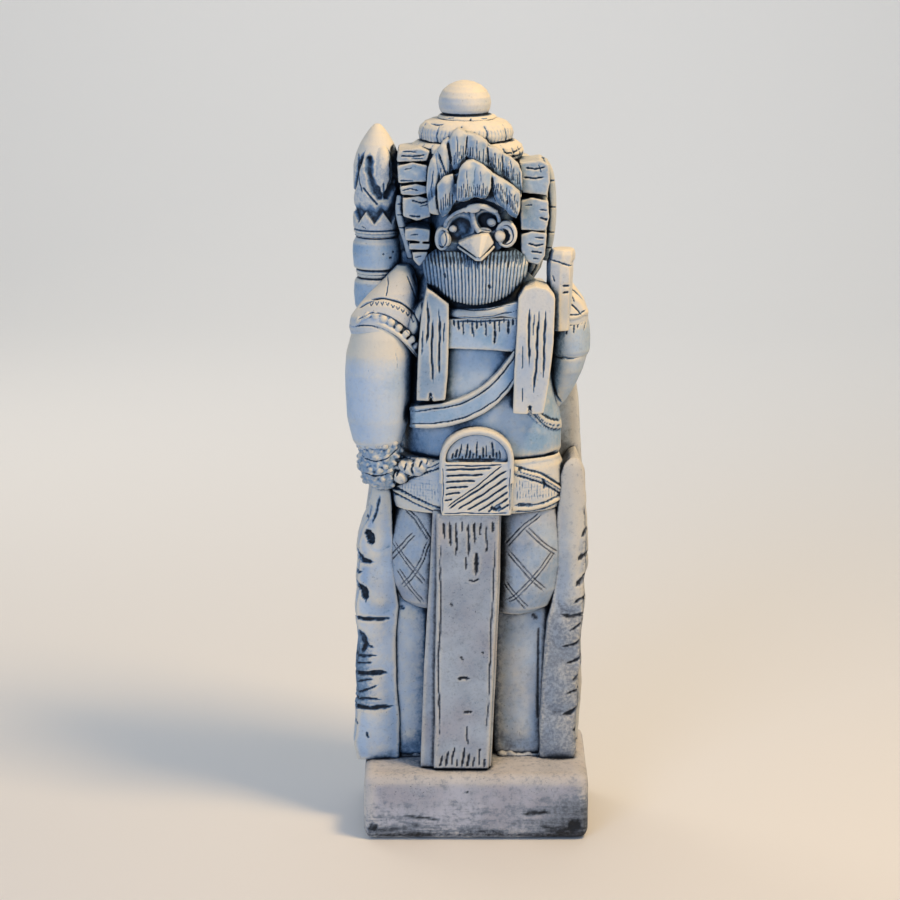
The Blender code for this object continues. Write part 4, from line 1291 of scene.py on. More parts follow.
puff_rings = [
    (449.5, 85.5, -6, 17, 21), (454, 85.8, -6, 18.4, 23), (466, 86, -6, 18.6, 24.5),
    (477, 85.6, -6, 18.2, 24), (484.5, 84.5, -6, 17.5, 22.5),
]
puff = cast("sleeve_puff_right", [limb(puff_rings, 40)], 0.85, 4)
weather(puff, 0.6, 12.0)
puff_cuts = comb(((72, 483.5), (102, 487)), ((74, 466), (99, 474)), 8, 1.7, 1.4, 0.7)
puff_cuts.append((eased([(68, 482.5), (84, 481), (96, 483), (104, 487)]), 2.4, 1.6))
carve(puff, puff_cuts)
place(puff, mid_stone, "stone_mid", "sleeve_puff_right")

elbow_rings = [
    (400, 73, -4, 4, 8), (406, 75, -4, 7.5, 12), (420, 79.5, -5, 11.5, 17), (436, 83, -6, 15, 21),
    (447, 84.5, -6, 16.8, 22), (454, 85, -6, 17, 22),
]
elbow = cast("elbow_right", [limb(elbow_rings, 36)], FINE_GRAIN, 5)
weather(elbow, 0.6, 14.0)
carve(
    elbow,
    [
        (eased([(66, 450), (84, 449), (100, 452)]), 2.2, 1.4),
        ([(69, 425), (74, 412), (80, 404)], 2.4, 1.2),
    ],
)
place(elbow, mid_stone, "stone_mid", "elbow_right")

# ---------------------------------------------------------------- head, headdress and crown
# The head carries a tall headdress: a back mass that falls in waves, two fluted crown tiers,
# and a smooth ball on a flat disc. Thick folds of stone stick forward at both sides.


def flutes(obj, centre, half, count, depth, low, high, narrow=2.0, darken=0.6, phase=0.0):
    """Lobes round an upright axis, with a valley between each two."""
    places, facing = surface(obj)
    turn = np.arctan2((places[:, 0] - centre[0]) / half[0], -(places[:, 1] - centre[1]) / half[1])
    turn = turn + 0.012 * np.sin(places[:, 2] * 0.5 + turn * 7)
    valley = (1 - np.abs(np.sin(turn * count / 2 + phase))) ** narrow
    share = smoothstep(low, low + 3, places[:, 2]) * smoothstep(high, high - 3, places[:, 2])
    share *= smoothstep(0.9, 0.5, np.abs(facing[:, 2]))
    press(obj, depth * valley * share, darken * valley * share)


head = cast(
    "head_core",
    [
        limb(
            [
                (522, 0, -2, 36, 36), (560, -1, -6, 37, 36), (600, -2, -6, 38, 36),
                (630, -2, -4, 36, 34),
            ],
            36,
        )
    ],
    2.0, 3,
)
place(head, slate_stone, "stone_mid", "head")

back_rings = [
    (512, 0, 25, 52, 24), (524, 0, 27, 60, 28), (545, 1, 27, 65, 29), (575, 1, 27, 67.5, 29.5),
    (605, 1, 27, 66, 29), (622, 0, 26, 58, 27), (630, -2, 25, 48, 24),
]
headdress = cast("headdress_back", [limb(back_rings, 48)], SKIN_GRAIN, 4)
flutes(headdress, (0, 12), (66, 40), count=34, depth=2.4, low=508, high=628)
weather(headdress, 0.8, 15.0)
tiers = [
    ([(-64, z), (-30, z - 5), (0, z - 7), (30, z - 5), (64, z)], 4.2, 2.6)
    for z in (536, 562, 588, 612)
]
carve(headdress, tiers, "back", taper=0.05)
carve(headdress, [([(60, z + 3), (69, z), (71, z - 2)], 3.0, 1.8) for z in (600, 575, 552)])
for side in ("left", "right"):
    carve(
        headdress, [([(-2, z), (20, z + 1), (50, z - 3)], 3.6, 2.2) for z in (536, 562, 588, 612)],
        side,
    )
place(headdress, mid_stone, "stone_mid", "headdress_back")


def turned_groove(obj, levels, width=2.4, depth=1.6, darken=0.8):
    """Cuts level grooves all the way round."""
    places, facing = surface(obj)
    reach = np.min([np.abs(places[:, 2] - level) for level in levels], axis=0)
    share = smoothstep(1.0, 0.5, np.abs(facing[:, 2]))
    press(
        obj, depth * np.clip(1 - (2 * reach / width) ** 2, 0, 1) * share,
        darken * smoothstep(0.62, 0.1, reach / width),
    )


lower_tier = cast(
    "crown_tier_lower",
    [
        limb(
            [
                (627, -8, 0, 44, 37), (631, -8.5, 0, 49.5, 41.5), (637, -9, 0, 51.8, 43),
                (642, -9, 0, 50, 41.5), (646, -9.5, 0, 45, 38),
            ],
            48,
        )
    ],
    0.9, 3,
)
flutes(lower_tier, (-9, 0), (51, 43), count=26, depth=1.6, low=624, high=650, darken=0.35)
weather(lower_tier, 1.4, 8.0)
tier_cuts = [
    ([(-60, 639.5), (-46, 636), (-36, 637)], 2.0, 1.6), ([(-58, 634), (-44, 631.5)], 1.8, 1.4),
    ([(-52, 642), (-40, 640.5)], 1.6, 1.2),
]
tier_cuts += [([(20, 638), (32, 637), (42, 641)], 1.8, 1.5), ([(24, 632.5), (41, 634)], 1.8, 1.4)]
carve(lower_tier, tier_cuts)
place(lower_tier, high_stone, "stone_high", "crown_tier_lower")

upper_tier = cast(
    "crown_tier_upper",
    [
        limb(
            [
                (644, -9.7, 0, 39, 34), (647, -9.8, 0, 42.2, 37), (653, -9.8, 0, 43.4, 38),
                (658.5, -9.8, 0, 42.0, 36.6), (663, -10, 0, 37.5, 33), (666, -10, 0, 30, 28),
            ],
            48,
        )
    ],
    0.9, 5,
)
tier_size = {"centre": (-10, 0), "half": (43, 38)}
flutes(
    upper_tier, **tier_size, count=11, depth=1.6, low=642, high=668, narrow=4.0, darken=0.3,
    phase=0.6,
)
flutes(upper_tier, **tier_size, count=67, depth=0.35, low=643, high=660, narrow=1.2, darken=0.22)
weather(upper_tier, 1.1, 9.0)
carve(
    upper_tier,
    [
        ([(-51, 646.8), (-40, 645.2), (-30, 646.5)], 2.6, 2.0),
        ([(14, 646), (24, 645.5), (34, 647.5)], 2.6, 2.0),
        ([(-44, 664), (-36, 662.5), (-28, 664)], 1.8, 1.0),
    ],
)
place(upper_tier, high_stone, "stone_high", "crown_tier_upper")

finial = cast(
    "finial",
    [
        limb(
            [
                (663.5, -9.0, 0, 24, 24), (665.8, -9.0, 0, 26.6, 26.6),
                (668.2, -9.0, 0, 26.2, 26.2), (670.6, -10.8, 0, 20.5, 20.5),
            ],
            48,
        ),
        limb(
            [
                (669, -11, 0, 18.5, 18.5), (671.4, -11, 0, 21.6, 21.6), (675, -11, 0, 23.2, 23.2),
                (680, -11, 0, 23.9, 23.9), (686, -11, 0, 22.9, 22.9), (691.4, -11, 0, 19.8, 19.8),
                (695.8, -11, 0, 14.6, 14.6), (698.6, -11, 0, 8.6, 8.6), (699.9, -11, 0, 3.0, 3.0),
            ],
            48,
        ),
    ],
    0.85, 4,
)
weather(finial, 0.3, 16.0)
turned_groove(finial, (670.3,), 2.2, 1.5)
carve(
    finial,
    [
        ([(-6, 669.5), (-6.4, 663.5)], 1.6, 1.2), ([(-28, 667.4), (-20, 668.4)], 1.2, 0.6),
        ([(2, 668.6), (10, 667.6)], 1.2, 0.6),
    ],
    darken=0.7,
)
place(finial, high_stone, "stone_high", "finial")

fold_shapes = {
    "left_1": [[(-72, 630.5), (-45, 631.5), (-42, 640), (-52, 643.5), (-71, 641)]],
    "left_2": [[(-70.5, 611.5), (-45, 613), (-44, 627.5), (-58, 630.2), (-71.5, 627)]],
    "left_3": [[(-68, 601), (-56, 600), (-43.5, 602.5), (-44, 608.5), (-55, 610.8), (-69.5, 608)]],
    "left_4": [[(-66.5, 581), (-54, 577.5), (-42, 581), (-41, 597), (-52, 599.6), (-66.8, 598)]],
    "left_5": [
        [(-64.5, 559.5), (-43, 558), (-42, 569), (-54, 571), (-65, 569.4)],
        [(-61, 551), (-43, 551), (-42, 556.4), (-61.5, 557)],
        [(-58.6, 548.6), (-44, 549), (-46, 541), (-52, 535.5), (-57, 541)],
    ],
    "right_1": [[(40, 603), (63, 600.5), (65.5, 612), (64.5, 628), (57, 632), (38, 630)]],
    "right_2": [[(39.5, 569), (62, 568), (65, 580), (64, 595), (50, 598.5), (39, 596)]],
    "right_3": [[(40, 541), (56, 537), (61.5, 545), (63, 566), (50, 567.8), (39.4, 565)]],
}
fold_cuts = {
    "left_1": [
        ([(-70, 636.5), (-58, 635), (-46, 637)], 1.8, 1.5), ([(-68, 640), (-54, 639)], 1.4, 1.0),
        ([(-60, 633), (-48, 633.5)], 1.4, 0.9),
    ],
    "left_2": [([(-70, 614.0), (-56, 613.2)], 2.2, 1.0), ([(-66, 624), (-58, 625)], 1.3, 0.6)],
    "left_3": [([(-68, 605), (-60, 606.5), (-52, 604.6)], 1.5, 1.0)],
    "left_4": [
        ([(-60, 596), (-50, 593.4), (-43, 595)], 2.0, 1.5), ([(-52, 590.5), (-44, 592)], 1.3, 0.8),
        ([(-62, 582.5), (-50, 581)], 2.4, 1.0),
    ],
    "left_5": [([(-60, 564.5), (-52, 565.5)], 1.4, 0.9), ([(-57, 544), (-50, 545.5)], 1.3, 0.8)],
    "right_1": [
        ([(43, 625.5), (52, 624.4), (62, 626.5)], 1.9, 1.6),
        ([(41, 617), (52, 615.8), (61, 617.6)], 1.9, 1.6), ([(55, 629), (58, 621)], 1.4, 0.8),
    ],
    "right_2": [
        ([(56, 580.5), (64, 578.5)], 2.4, 1.8), ([(43, 591), (50, 591.6)], 1.3, 0.8),
        ([(56, 588), (63, 587)], 1.6, 1.0),
    ],
    "right_3": [
        ([(45, 556.5), (53, 554.4), (61, 556)], 2.0, 1.6), ([(48, 549), (59, 548)], 1.9, 1.5),
        ([(52, 562), (61, 561.4)], 1.6, 1.1), ([(50, 542.6), (56, 542)], 1.6, 1.0),
    ],
}
for name, outlines in fold_shapes.items():
    side = name.split("_")[0]
    deep = 8 if side == "left" else 6
    fold = cast(
        f"headdress_fold_{name}", [plate(outline, -35.6, deep) for outline in outlines], 0.75, 10,
    )
    weather(fold, 1.1, 7.0)
    carve(fold, fold_cuts[name], taper=0.15)
    carve(
        fold, [([(-30, z), (6, z)], 1.8, 1.2) for z in np.arange(540, 640, 9.0)], side, taper=0.05,
    )
    place(fold, slate_stone, "stone_mid", f"flap_{name}")

edge_strips = [
    roll(
        eased(
            [(-69, -14, 597), (-71, -17, 585), (-68, -17, 570), (-63.5, -14, 556), (-60, -8, 540)]
        ),
        3.6,
    ),
    roll(
        eased(
            [
                (62, -2, 625), (66.5, -2, 616), (68.6, -2, 596), (69, -2, 575), (66.4, -2, 552),
                (62, -2, 536),
            ]
        ),
        4.0,
    ),
]
edge_strips.append(block((-77, -2, 528), (-58, 18, 634), 4))  # stone left between head and club
edge_strips.append(block((-70, -6, 504), (-46, 14, 546), 4))
strips = cast("headdress_edges", edge_strips, 0.8, 3)
carve(
    strips,
    [([(-74, z), (-60, z + 1)], 1.6, 1.0) for z in (590, 580, 568)] + [
        ([(60, z), (74, z - 1)], 1.6, 1.1)
        for z in (610, 586, 563, 548)
    ],
)
place(strips, mid_stone, "stone_mid", "headdress_back")

# ---------------------------------------------------------------- crest
# Two rows of thick feathers stand over the brow, the lower row pointed like a parting. Their tips
# are frayed with short cuts, and a deep line, darkened with painted shade, parts the rows.


def fray_and_shade(crest, hem, reach):
    """Frays the ends of the feathers above their hem in long uneven strands, and paints shade
    there, darkest at the hem where the feathers stand over the piece below.
    """
    u, v, faces, _ = seen(crest, "front", 0.3)
    above = v - np.interp(u, [x for x, z in hem], [z for x, z in hem])
    strand = 0.5 + 0.5 * np.sin(u * 4.3 + 1.5 * np.sin(u * 0.9)) * np.sin(u * 1.7 + v * 0.04)
    dark = smoothstep(reach * (0.35 + 0.9 * strand), 0, above) * smoothstep(-6, -2, above)
    press(crest, 0.5 * dark * strand, 0.55 * dark * smoothstep(0.2, 0.6, faces))


upper_feathers = [
    (
        [
            (-42.5, 586), (-45.5, 606), (-44, 626), (-38, 640), (-33, 646), (-27, 640), (-25, 622),
            (-33, 604), (-34, 584),
        ],
        -46.0,
    ),
    (
        [
            (-36, 640), (-31, 650), (-26, 654), (-24, 646), (-22, 630), (-22.5, 616), (-29, 610),
            (-33, 622),
        ],
        -48.5,
    ),
    (
        [
            (-24.6, 652), (-22, 659), (-17, 662.5), (-11, 660), (-8.2, 655), (-9.5, 640),
            (-11, 630), (-21, 625),
        ],
        -51.0,
    ),
    (
        [
            (-10, 640), (-8.4, 658.5), (0, 656.5), (8.6, 650.5), (10.6, 644), (10.6, 628),
            (2, 626), (-6, 630),
        ],
        -50.0,
    ),
    ([(10, 646), (16, 645.5), (23, 641), (24.5, 634), (23, 617), (16, 620), (9.6, 626)], -48.6),
    (
        [
            (22.6, 640), (30, 636), (36.5, 630.5), (40, 622), (41, 606), (34, 606), (26, 612),
            (22, 622),
        ],
        -46.5,
    ),
]
crest_back = [
    (-41, 590), (-42, 628), (-30, 648), (-17, 658), (6, 651), (24, 638), (38, 626), (40, 600),
    (20, 584), (-20, 582),
]
parts = [plate(crest_back, -42, -34)] + [
    plate(outline, front, -36)
    for outline, front in upper_feathers
]
crest_upper = cast("crest_feathers_upper", parts, 0.75, 9)
build_up(
    crest_upper,
    [
        ([(-17, 632), (-16.5, 655)], 16, 2.8), ([(0, 632), (0, 650)], 19, 2.6),
        ([(16.6, 624), (16.5, 640)], 14, 2.6), ([(31, 612), (31, 628)], 17, 2.6),
        ([(-38, 590), (-38, 632)], 13, 2.4), ([(-29, 618), (-30, 644)], 12, 2.4),
    ],
)
weather(crest_upper, 0.8, 8.0)
crest_cuts = [
    ([(-26, 652), (-24.5, 640), (-22.8, 628)], 2.2, 2.2),
    ([(-8.4, 658), (-9.2, 646), (-10.4, 636)], 1.9, 1.8),
    ([(9.6, 649), (10.2, 638), (10.4, 629)], 2.6, 2.4),
    ([(23, 640), (23.4, 628), (23.2, 618)], 2.0, 1.9),
    ([(-36, 643), (-32, 632), (-28, 620)], 2.4, 2.2),
    ([(-34, 612), (-36, 600), (-35, 588)], 1.8, 1.6), ([(-18, 657), (-17, 640)], 1.2, 0.7),
    ([(-39, 628), (-41, 608), (-40, 596)], 1.4, 0.9), ([(0, 654), (-1, 640)], 1.1, 0.6),
    ([(16, 643), (16.6, 630)], 1.3, 1.0), ([(30, 634), (31.5, 620)], 1.3, 1.0),
]
crest_cuts += comb(((-22, 628), (-11, 636)), ((-21, 644), (-12, 652)), 6, 1.1, 0.8)
crest_cuts += comb(((11, 629), (39, 609)), ((12, 643), (39, 624)), 16, 1.1, 1.0)
crest_cuts += comb(((-33, 616), (-25, 612)), ((-35, 634), (-27, 632)), 4, 1.3, 1.2)
crest_cuts += comb(((-9, 638), (9, 631)), ((-9, 650), (9, 645)), 9, 1.1, 0.8)
carve(crest_upper, crest_cuts, taper=0.2, darken=0.36)
fray_and_shade(
    crest_upper, [(-46, 596), (-33, 612), (-22, 627), (-10, 634), (10, 628), (24, 618), (40, 606)],
    13,
)
place(crest_upper, slate_stone, "stone_mid", "crest_upper")

lower_feathers = [
    (
        [
            (-34.5, 590), (-36, 612), (-30, 620), (-21.5, 622.5), (-19, 612), (-19.4, 597),
            (-26, 590), (-31, 583),
        ],
        -54.5,
    ),
    (
        [
            (-18, 598.5), (-18.2, 616), (-15.5, 628), (-10, 634.5), (-4, 635.8), (5, 631),
            (12.6, 624.5), (12.2, 611), (7, 603.5), (-2, 602.5), (-10, 601),
        ],
        -62.5,
    ),
    (
        [
            (12.4, 624), (22, 618.5), (33, 611), (38.2, 606), (38.5, 594), (35, 582.5),
            (28, 588.5), (21.5, 594), (13.4, 608),
        ],
        -59.5,
    ),
]
parts = [
    plate(
        [
            (-32, 586), (-30, 616), (-4, 630), (34, 604), (34, 586), (14, 596), (-4, 601),
            (-20, 594),
        ],
        -50, -38,
    )
]
parts += [plate(outline, front, -44) for outline, front in lower_feathers]
crest_lower = cast("crest_feathers_lower", parts, 0.7, 10)
build_up(
    crest_lower,
    [
        ([(-11, 604), (-9, 628)], 17, 3.0), ([(5, 606), (4, 624)], 17, 2.6),
        ([(21, 600), (19, 613)], 16, 3.0), ([(32, 590), (31, 604)], 14, 2.6),
        ([(-28, 590), (-27, 614)], 15, 2.8),
    ],
)
weather(crest_lower, 0.7, 7.0)
crest_cuts = comb(((-17, 601), (10, 603)), ((-17, 617), (9, 618)), 15, 1.1, 1.0)
crest_cuts += comb(((13, 605), (36, 585)), ((15, 621), (37, 604)), 15, 1.1, 1.1)
crest_cuts += comb(((-34, 588), (-20, 594)), ((-33, 606), (-21, 609)), 6, 1.3, 1.1)
crest_cuts += [
    ([(-10, 628), (-9, 614)], 1.1, 0.6), ([(2, 628), (3, 616)], 1.1, 0.6),
    ([(20, 616), (21, 604)], 1.2, 0.8), ([(28, 610), (29, 598)], 1.2, 0.8),
    ([(12.8, 622), (12.8, 606)], 2.2, 1.8),
]
carve(crest_lower, crest_cuts, taper=0.2, darken=0.36)
fray_and_shade(
    crest_lower, [(-34, 586), (-20, 594), (-10, 600), (8, 602), (14, 606), (26, 590), (38, 582)],
    12,
)
place(crest_lower, slate_stone, "stone_mid", "crest_lower")

# ---------------------------------------------------------------- mask
# A bird-like mask that is plainly no person: a pointed brow over two hollow eyes, a broad
# hooked beak, and a round boss for each ear. All of it was carved in the model for the mould.
mask_outline = [
    (-29, 552), (-30, 566), (-28, 575.4), (-25.6, 581), (-19.6, 586.5), (-9.8, 592), (-2, 597),
    (9.2, 592.5), (15.9, 588.5), (18.5, 584), (20.5, 577), (23, 568), (22, 555), (12, 545),
    (-12, 545),
]
ridge_path = eased([(-4.8, -50, 592), (-3.8, -50.5, 584), (-2.2, -52, 576), (2.5, -55, 569.5)])
mask = cast(
    "mask",
    [
        plate(mask_outline, -48.5, -32), roll(ridge_path, 2.4),
        pebble((6.5, -51, 571.2), (6.5, 4, 2.6), -6),
    ],
    0.65, 4,
)
u, v, faces, _ = seen(mask, "front", 0.2)
sockets = np.zeros(len(u))
# each is (across, up, half width, half height)
hollows = [
    (-14.4, 573.0, 11.2, 11.0), (-19, 568, 8.6, 8.4), (8.4, 579.4, 9.2, 8.2),
    (13.4, 577.6, 6.4, 7.6),
]
for across, up, half_width, half_height in hollows:
    from_middle = np.hypot((u - across) / half_width, (v - up) / half_height)
    sockets = np.maximum(sockets, smoothstep(1.12, 0.55, from_middle))
from_ridge, _ = reach_of(u, v, [(-4.8, 592), (-3.8, 584), (-2.2, 576), (2.5, 569.5)])
ridge_share = smoothstep(2.2, 4.6, from_ridge)
# wash and painted shade in the eye sockets, the shade deepest under the brow; the cheeks are
# darker below and level with the eyes
gloom = 0.45 + 0.5 * smoothstep(571, 586, v - 0.25 * u) + 0.12 * np.sin(u * 0.8 + v * 0.5)
cheeks = 0.62 * smoothstep(569, 561, v) + 0.22 * smoothstep(1.0, 0.4, np.abs(v - 580) / 16)
press(
    mask, 6.0 * sockets * ridge_share * smoothstep(0.1, 0.5, faces),
    np.maximum(gloom * sockets * ridge_share, cheeks),
)
place(mask, slate_stone, "stone_mid", "face_mask")

eyes = cast(
    "eyes",
    [
        pebble((-21.8, -46.2, 571.8), (3.9, 4.2, 3.8)),
        pebble((12.9, -47.0, 578.0), (4.6, 4.8, 4.4)),
    ],
    0.6, 2,
)
carve(
    eyes,
    [
        ([(-25, 569.8), (-22, 568.6), (-19.4, 570.6)], 1.1, 0.6),
        ([(10, 576), (13, 575.2), (16, 577)], 1.1, 0.6),
    ],
    darken=0.6,
)
place(eyes, mid_stone, "stone_mid", "face_mask")

thin_left = eased(
    [
        (-29, -46, 572), (-28, -48.5, 577.5), (-25.6, -50.5, 582.4), (-19.6, -52, 587.2),
        (-11, -53, 590.5),
    ]
)
peak = eased(
    [
        (-11, -52.5, 589.5), (-6, -54, 592.2), (-1, -55, 594.6), (6, -54.6, 593.6),
        (12, -53, 590.8), (17.5, -51, 587.4),
    ]
)
thin_right = eased([(16, -51.5, 588.4), (19, -50, 584), (19.6, -48, 578.5)])
brow = cast(
    "brow",
    [
        roll(thin_left, 1.8), roll(peak, 2.7), roll(thin_right, 1.9),
        pebble((-3.4, -53.4, 591.8), (6.6, 3.8, 4.6)),
    ],
    0.6, 4,
)
weather(brow, 0.7, 5.0)
places, _ = surface(brow)
x, z = places[:, 0], places[:, 2]
shade = 0.34 * smoothstep(-9, -17, x) + 0.4 * smoothstep(590.0, 586.5, z) * smoothstep(-9, -4, x)
tint(brow, shade)
place(brow, high_stone, "stone_mid", "brow")

bpy.ops.object.select_all(action="DESELECT")
bpy.ops.mesh.primitive_cube_add(size=1.0)
bill = bpy.context.object
# the root of the beak against the mask, its shoulders, and its tip
bill_points = [
    (-17.4, -44, 561.5), (2.5, -46, 571.5), (10, -46, 571.5), (15.2, -44, 562.5), (-4, -44, 548),
    (6, -44, 548), (-17.2, -52, 559.6), (-7.4, -57.5, 564.8), (3.8, -61.5, 568.4),
    (10.0, -58, 568.8), (15.0, -53, 560.0), (1.8, -73.0, 548.8), (-1.6, -68.0, 551.2),
    (5.2, -68.0, 551.8),
]
bpy.ops.object.mode_set(mode="EDIT")
bpy.ops.mesh.select_all(action="SELECT")
bpy.ops.mesh.subdivide(number_cuts=1)
bpy.ops.object.mode_set(mode="OBJECT")
# the cube has more points than the beak: some share a place, and the hull drops the rest
for vertex, spot in zip(bill.data.vertices, bill_points * 2):
    vertex.co = mm(*spot)
bpy.ops.object.mode_set(mode="EDIT")
bpy.ops.mesh.select_all(action="SELECT")
bpy.ops.mesh.convex_hull()
bpy.ops.object.mode_set(mode="OBJECT")
lip_path = eased(
    [
        (-17.0, -50, 556.4), (-8, -57.5, 551.4), (1.7, -66.5, 545.8), (8.4, -58.5, 550.8),
        (14.8, -50.5, 556.6),
    ],
    1,
)
beak = cast("beak", [bill, roll(lip_path, 1.7), block((-8, -56, 547), (8, -40, 554), 2)], 0.6, 2)
carve(
    beak,
    [(eased([(-17.6, 558.4), (-8, 553.8), (1.6, 548.2), (8.4, 553), (15.2, 558.8)], 1), 1.4, 1.3)],
    darken=0.9, taper=0.1,
)
# painted shade on the beak's left facet, away from the warm lamp
places, _ = surface(beak)
tint(beak, 0.24 * smoothstep(1, -7, places[:, 0]))
place(beak, high_stone, "stone_mid", "beak")



def oval(x, z, wide, tall, turns):
    """Points round an oval in X and Z, at these turns in radians from straight up."""
    return [(x + wide * math.sin(turn), z + tall * math.cos(turn)) for turn in turns]


full_turn = np.linspace(0, 2 * math.pi, 33)
# side, middle, half width and height, lip, the boss's middle and halves, its hollow
ear_shapes = [
    ("left", (-31.0, 562.9), 8.2, 12.0, 1.9, (-28.0, 562.6), (4.8, 4.4, 6.6), 6.0),
    ("right", (26.0, 567.2), 10.8, 13.2, 2.4, (20.2, 566.0), (5.2, 4.4, 5.4), 6.8),
]
for side, (x, z), wide, tall, lip, (boss_x, boss_z), boss_half, hollow in ear_shapes:
    ring = [
        (ring_x, -47.5, ring_z)
        for ring_x, ring_z in oval(x, z, wide - 3.0, tall - 3.0, full_turn)
    ]
    disc = oval(x, z, wide - 1.5, tall - 1.5, full_turn[:-1])
    boss = pebble((boss_x, -50.5, boss_z), boss_half)
    ear = cast(f"ear_boss_{side}", [plate(disc, -48.6, -34), roll(ring, lip), boss], 0.6, 3)
    crescent = oval(boss_x, boss_z, hollow, hollow * 1.05, np.linspace(0.35, 2.9, 12))
    whorl = oval(x, z, wide - 4.6, tall - 4.6, np.linspace(-0.6, 4.2, 18))
    carve(ear, [(crescent, 4.6, 3.4)], taper=0.3, darken=0.9)
    carve(ear, [(whorl, 1.4, 1.0)], taper=0.2)
    place(ear, high_stone if side == "right" else slate_stone, "stone_mid", f"ear_disc_{side}")

beard_rings = [
    (502.5, -1.5, -32, 12, 18), (506, -1.5, -33, 25, 24), (512, -1.5, -34, 35, 28),
    (520, -1.5, -34.5, 42.5, 29.2), (530, -1.5, -35, 47, 29.5), (539, -1.5, -35.5, 47.8, 28.5),
    (546, -1, -36, 44, 26), (552, -1, -37, 36, 19),
]
beard = cast("beard", [limb(beard_rings, 56)], 0.7, 4)
weather(beard, 0.5, 9.0)
u, v, faces, _ = seen(beard, "front", 0.25)
strand_width = 3.1
closing_in = 1 + 0.0030 * (525 - v)  # the strands draw together towards the foot
strands = (1 - np.abs(np.sin(math.pi * (u + 1.5) * closing_in / strand_width))) ** 1.3
strands *= smoothstep(-0.1, 0.2, faces) * (0.8 + 0.2 * np.sin(u * 0.9 + v * 0.05))
press(beard, 1.4 * strands, 0.85 * strands)
carve(
    beard,
    comb(((-44, 549), (42, 550)), ((-42, 536), (40, 537)), 24, 1.6, 0.9, 0.5) + [
        ([(10, 524), (12, 519)], 3.2, 1.0), ([(-30, 534), (-29, 528)], 2.4, 0.8),
    ],
    darken=0.8,
)
# painted shade: the beard darkens under the face and on its left half, away from the warm lamp
places, _ = surface(beard)
x, z = places[:, 0], places[:, 2]
beard_shade = smoothstep(538, 548, z - 0.04 * np.abs(x)) + smoothstep(-10, -60, x)
tint(beard, 0.5 * np.clip(beard_shade, 0, 1))
place(beard, mid_stone, "stone_mid", "beard")

# ---------------------------------------------------------------- mace
# The club stands on the left shoulder: a closed bud of petals in a toothed cup, over two
# barrels with turned grooves. It was cast with the figure and shares its wash.
bud_rings = [
    (560, -91, 0, 19.5, 19.5), (572, -91, 0, 20.4, 20.4), (590, -91, 0, 20.8, 20.8),
    (610, -91, 0, 21.2, 21.4), (624, -91, 0, 21.0, 21.2), (634, -90.6, 0, 19.0, 19.2),
    (643, -90.4, 0, 15.4, 15.8), (651, -90.2, 0, 10.6, 11), (657, -90.2, 0, 6.2, 6.4),
    (660.6, -90.2, 0, 2.6, 2.6),
]
bud = cast(
    "mace_bud", [limb(bud_rings, 44), pebble((-84.5, -15.5, 618), (8.5, 8.5, 24), 0)], 0.8, 4,
)
bud_cuts = [
    (eased([(-96.5, 636), (-98.0, 618), (-93.5, 604), (-85, 593.5)], 3), 9.0, 3.4),
    (eased([(-74.4, 644), (-74.0, 620), (-77, 604), (-85, 593.5)], 3), 8.0, 3.6),
    (eased([(-104, 606), (-97, 597), (-89, 588.5)], 3), 2.0, 1.2),
    (eased([(-106.5, 636), (-108, 616), (-104, 600)], 3), 1.5, 0.7),
    ([(-84.5, 610), (-84.7, 600)], 2.0, 0.6), ([(-104, 570), (-100, 568)], 1.6, 0.7),
]
carve(bud, bud_cuts, taper=0.08)
for side, middle in (("left", 0), ("back", -91), ("right", 0)):
    petal = [
        (middle - 14, 638), (middle - 13, 614), (middle, 593), (middle + 13, 614),
        (middle + 14, 638),
    ]
    carve(bud, [(eased(petal, 3), 5.5, 2.6)], side, taper=0.08)
places, facing = surface(bud)
turn = np.arctan2(places[:, 0] + 91, -places[:, 1])
leaf = (turn + 0.475) / (math.pi / 4)  # eight pointed leaves stand round the cup
tooth_line = 582.5 - 10.5 * 2 * np.abs(leaf - np.round(leaf))
above = places[:, 2] - tooth_line
cup = smoothstep(0.9, -0.9, above) * smoothstep(0.95, 0.7, facing[:, 2])
ragged_foot = places[:, 2] + 1.5 * np.sin(places[:, 0] * 0.6)
gap = smoothstep(-0.8, 1.4, above) * smoothstep(591.0, 582.0, ragged_foot)
press(bud, 2.6 * gap - 1.4 * cup, 0.55 * gap)
turned_groove(bud, (560.8,), 3.4, 2.0)
turned_groove(bud, (565.2,), 1.8, 1.0)
places, _ = surface(bud)
tint(bud, 0.20 * smoothstep(648, 622, places[:, 2]))
place(bud, high_stone, "stone_mid", "mace_bud")

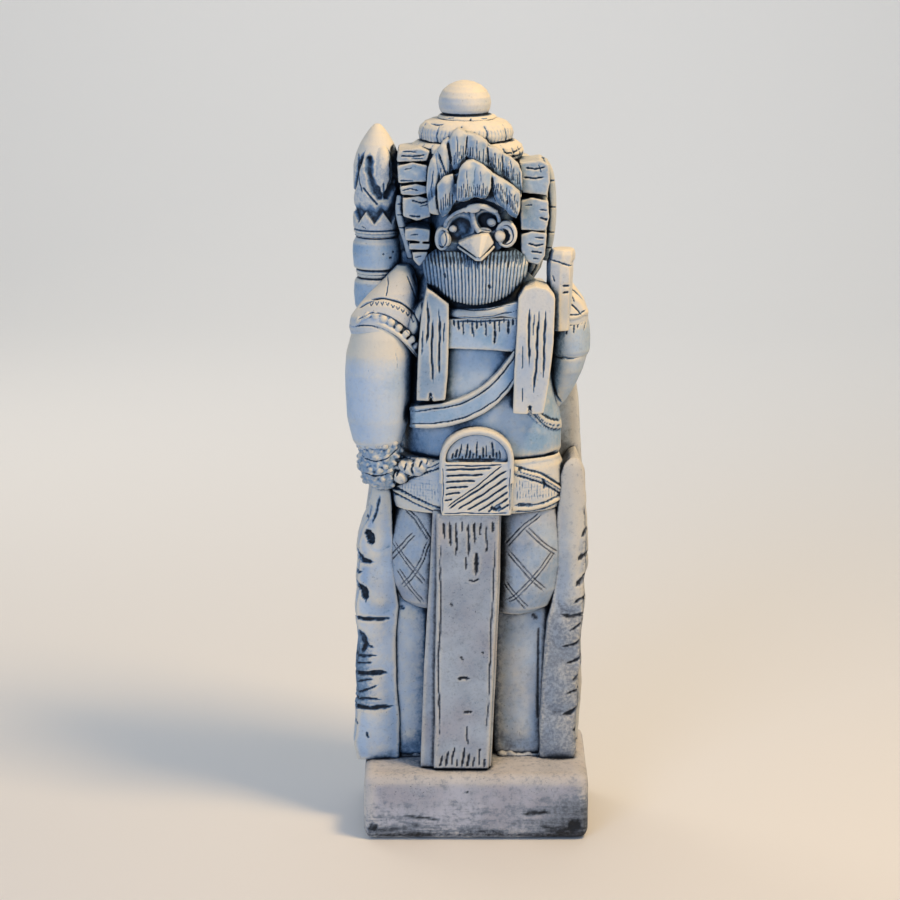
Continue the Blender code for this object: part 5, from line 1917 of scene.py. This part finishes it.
barrels = {
    "upper": [
        (521.5, -90.5, 0, 19.5, 19.5), (527.5, -90.5, 0, 20.2, 20.2), (530, -91, 0, 21.4, 21.4),
        (543, -91.5, 0, 22.0, 22.0), (553, -91.4, 0, 21.4, 21.4), (557, -91, 0, 19.5, 19.5),
        (561.5, -91, 0, 20.0, 20.0), (565, -91, 0, 19.2, 19.2),
    ],
    "lower": [
        (489, -91, 0, 17, 18), (494, -91.3, 0, 20.2, 20.5), (507, -91.4, 0, 21.2, 21.4),
        (517, -91, 0, 20.8, 21), (520.5, -90.6, 0, 19.0, 19.2), (525, -90.5, 0, 19.4, 19.5),
    ],
}
barrel_grooves = {"upper": (558.4, 528.2, 523.4), "lower": (521.0,)}
for level, rings in barrels.items():
    barrel = cast(f"mace_barrel_{level}", [limb(rings, 44)], 0.85, 3)
    weather(barrel, 0.6, 14.0)
    turned_groove(barrel, barrel_grooves[level], 2.6, 1.7)
    if level == "upper":
        carve(
            barrel,
            [
                ([(-80, 541), (-77, 540)], 2.0, 0.9), ([(-86, 545), (-84, 544)], 2.0, 0.9),
                ([(-77, 546), (-75, 545)], 1.8, 0.8),
            ],
            darken=0.7,
        )
    place(barrel, mid_stone, "stone_mid", f"mace_barrel_{level}")

# ---------------------------------------------------------------- reinforcing bars
# Two plain steel bars stand inside the plinth, legs and body, so that the cement can't snap
# there. They are hot rolled and lightly rusted, and they don't show.

# mill scale with thin rust: dark grey-brown, half metallic, dull
rusty = bpy.data.materials.new("hot_rolled_steel_bar")
rusty.use_nodes = True
tree = rusty.node_tree
bar_place = add_node(tree, "ShaderNodeTexCoord").outputs["Object"]
scale_noise = add_node(tree, "ShaderNodeTexNoise", {0: bar_place}, in_2=1000 / 6, in_3=5.0)
rust = add_node(
    tree, "ShaderNodeMix", {0: scale_noise.outputs[0]}, data_type="RGBA", in_6=linear("#4B4643"),
    in_7=linear("#7A4A2E"),
)
shader = tree.nodes["Principled BSDF"]
tree.links.new(rust.outputs[2], shader.inputs["Base Color"])
shader.inputs["Metallic"].default_value = 0.8
shader.inputs["Roughness"].default_value = 0.6
grit = add_node(tree, "ShaderNodeBump", {"Height": scale_noise.outputs[0]}, in_1=mm(0.3))
tree.links.new(grit.outputs[0], shader.inputs["Normal"])
for side in ("left", "right"):
    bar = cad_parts[f"core_rod_{side}"]
    bar.material_slots[0].material = rusty
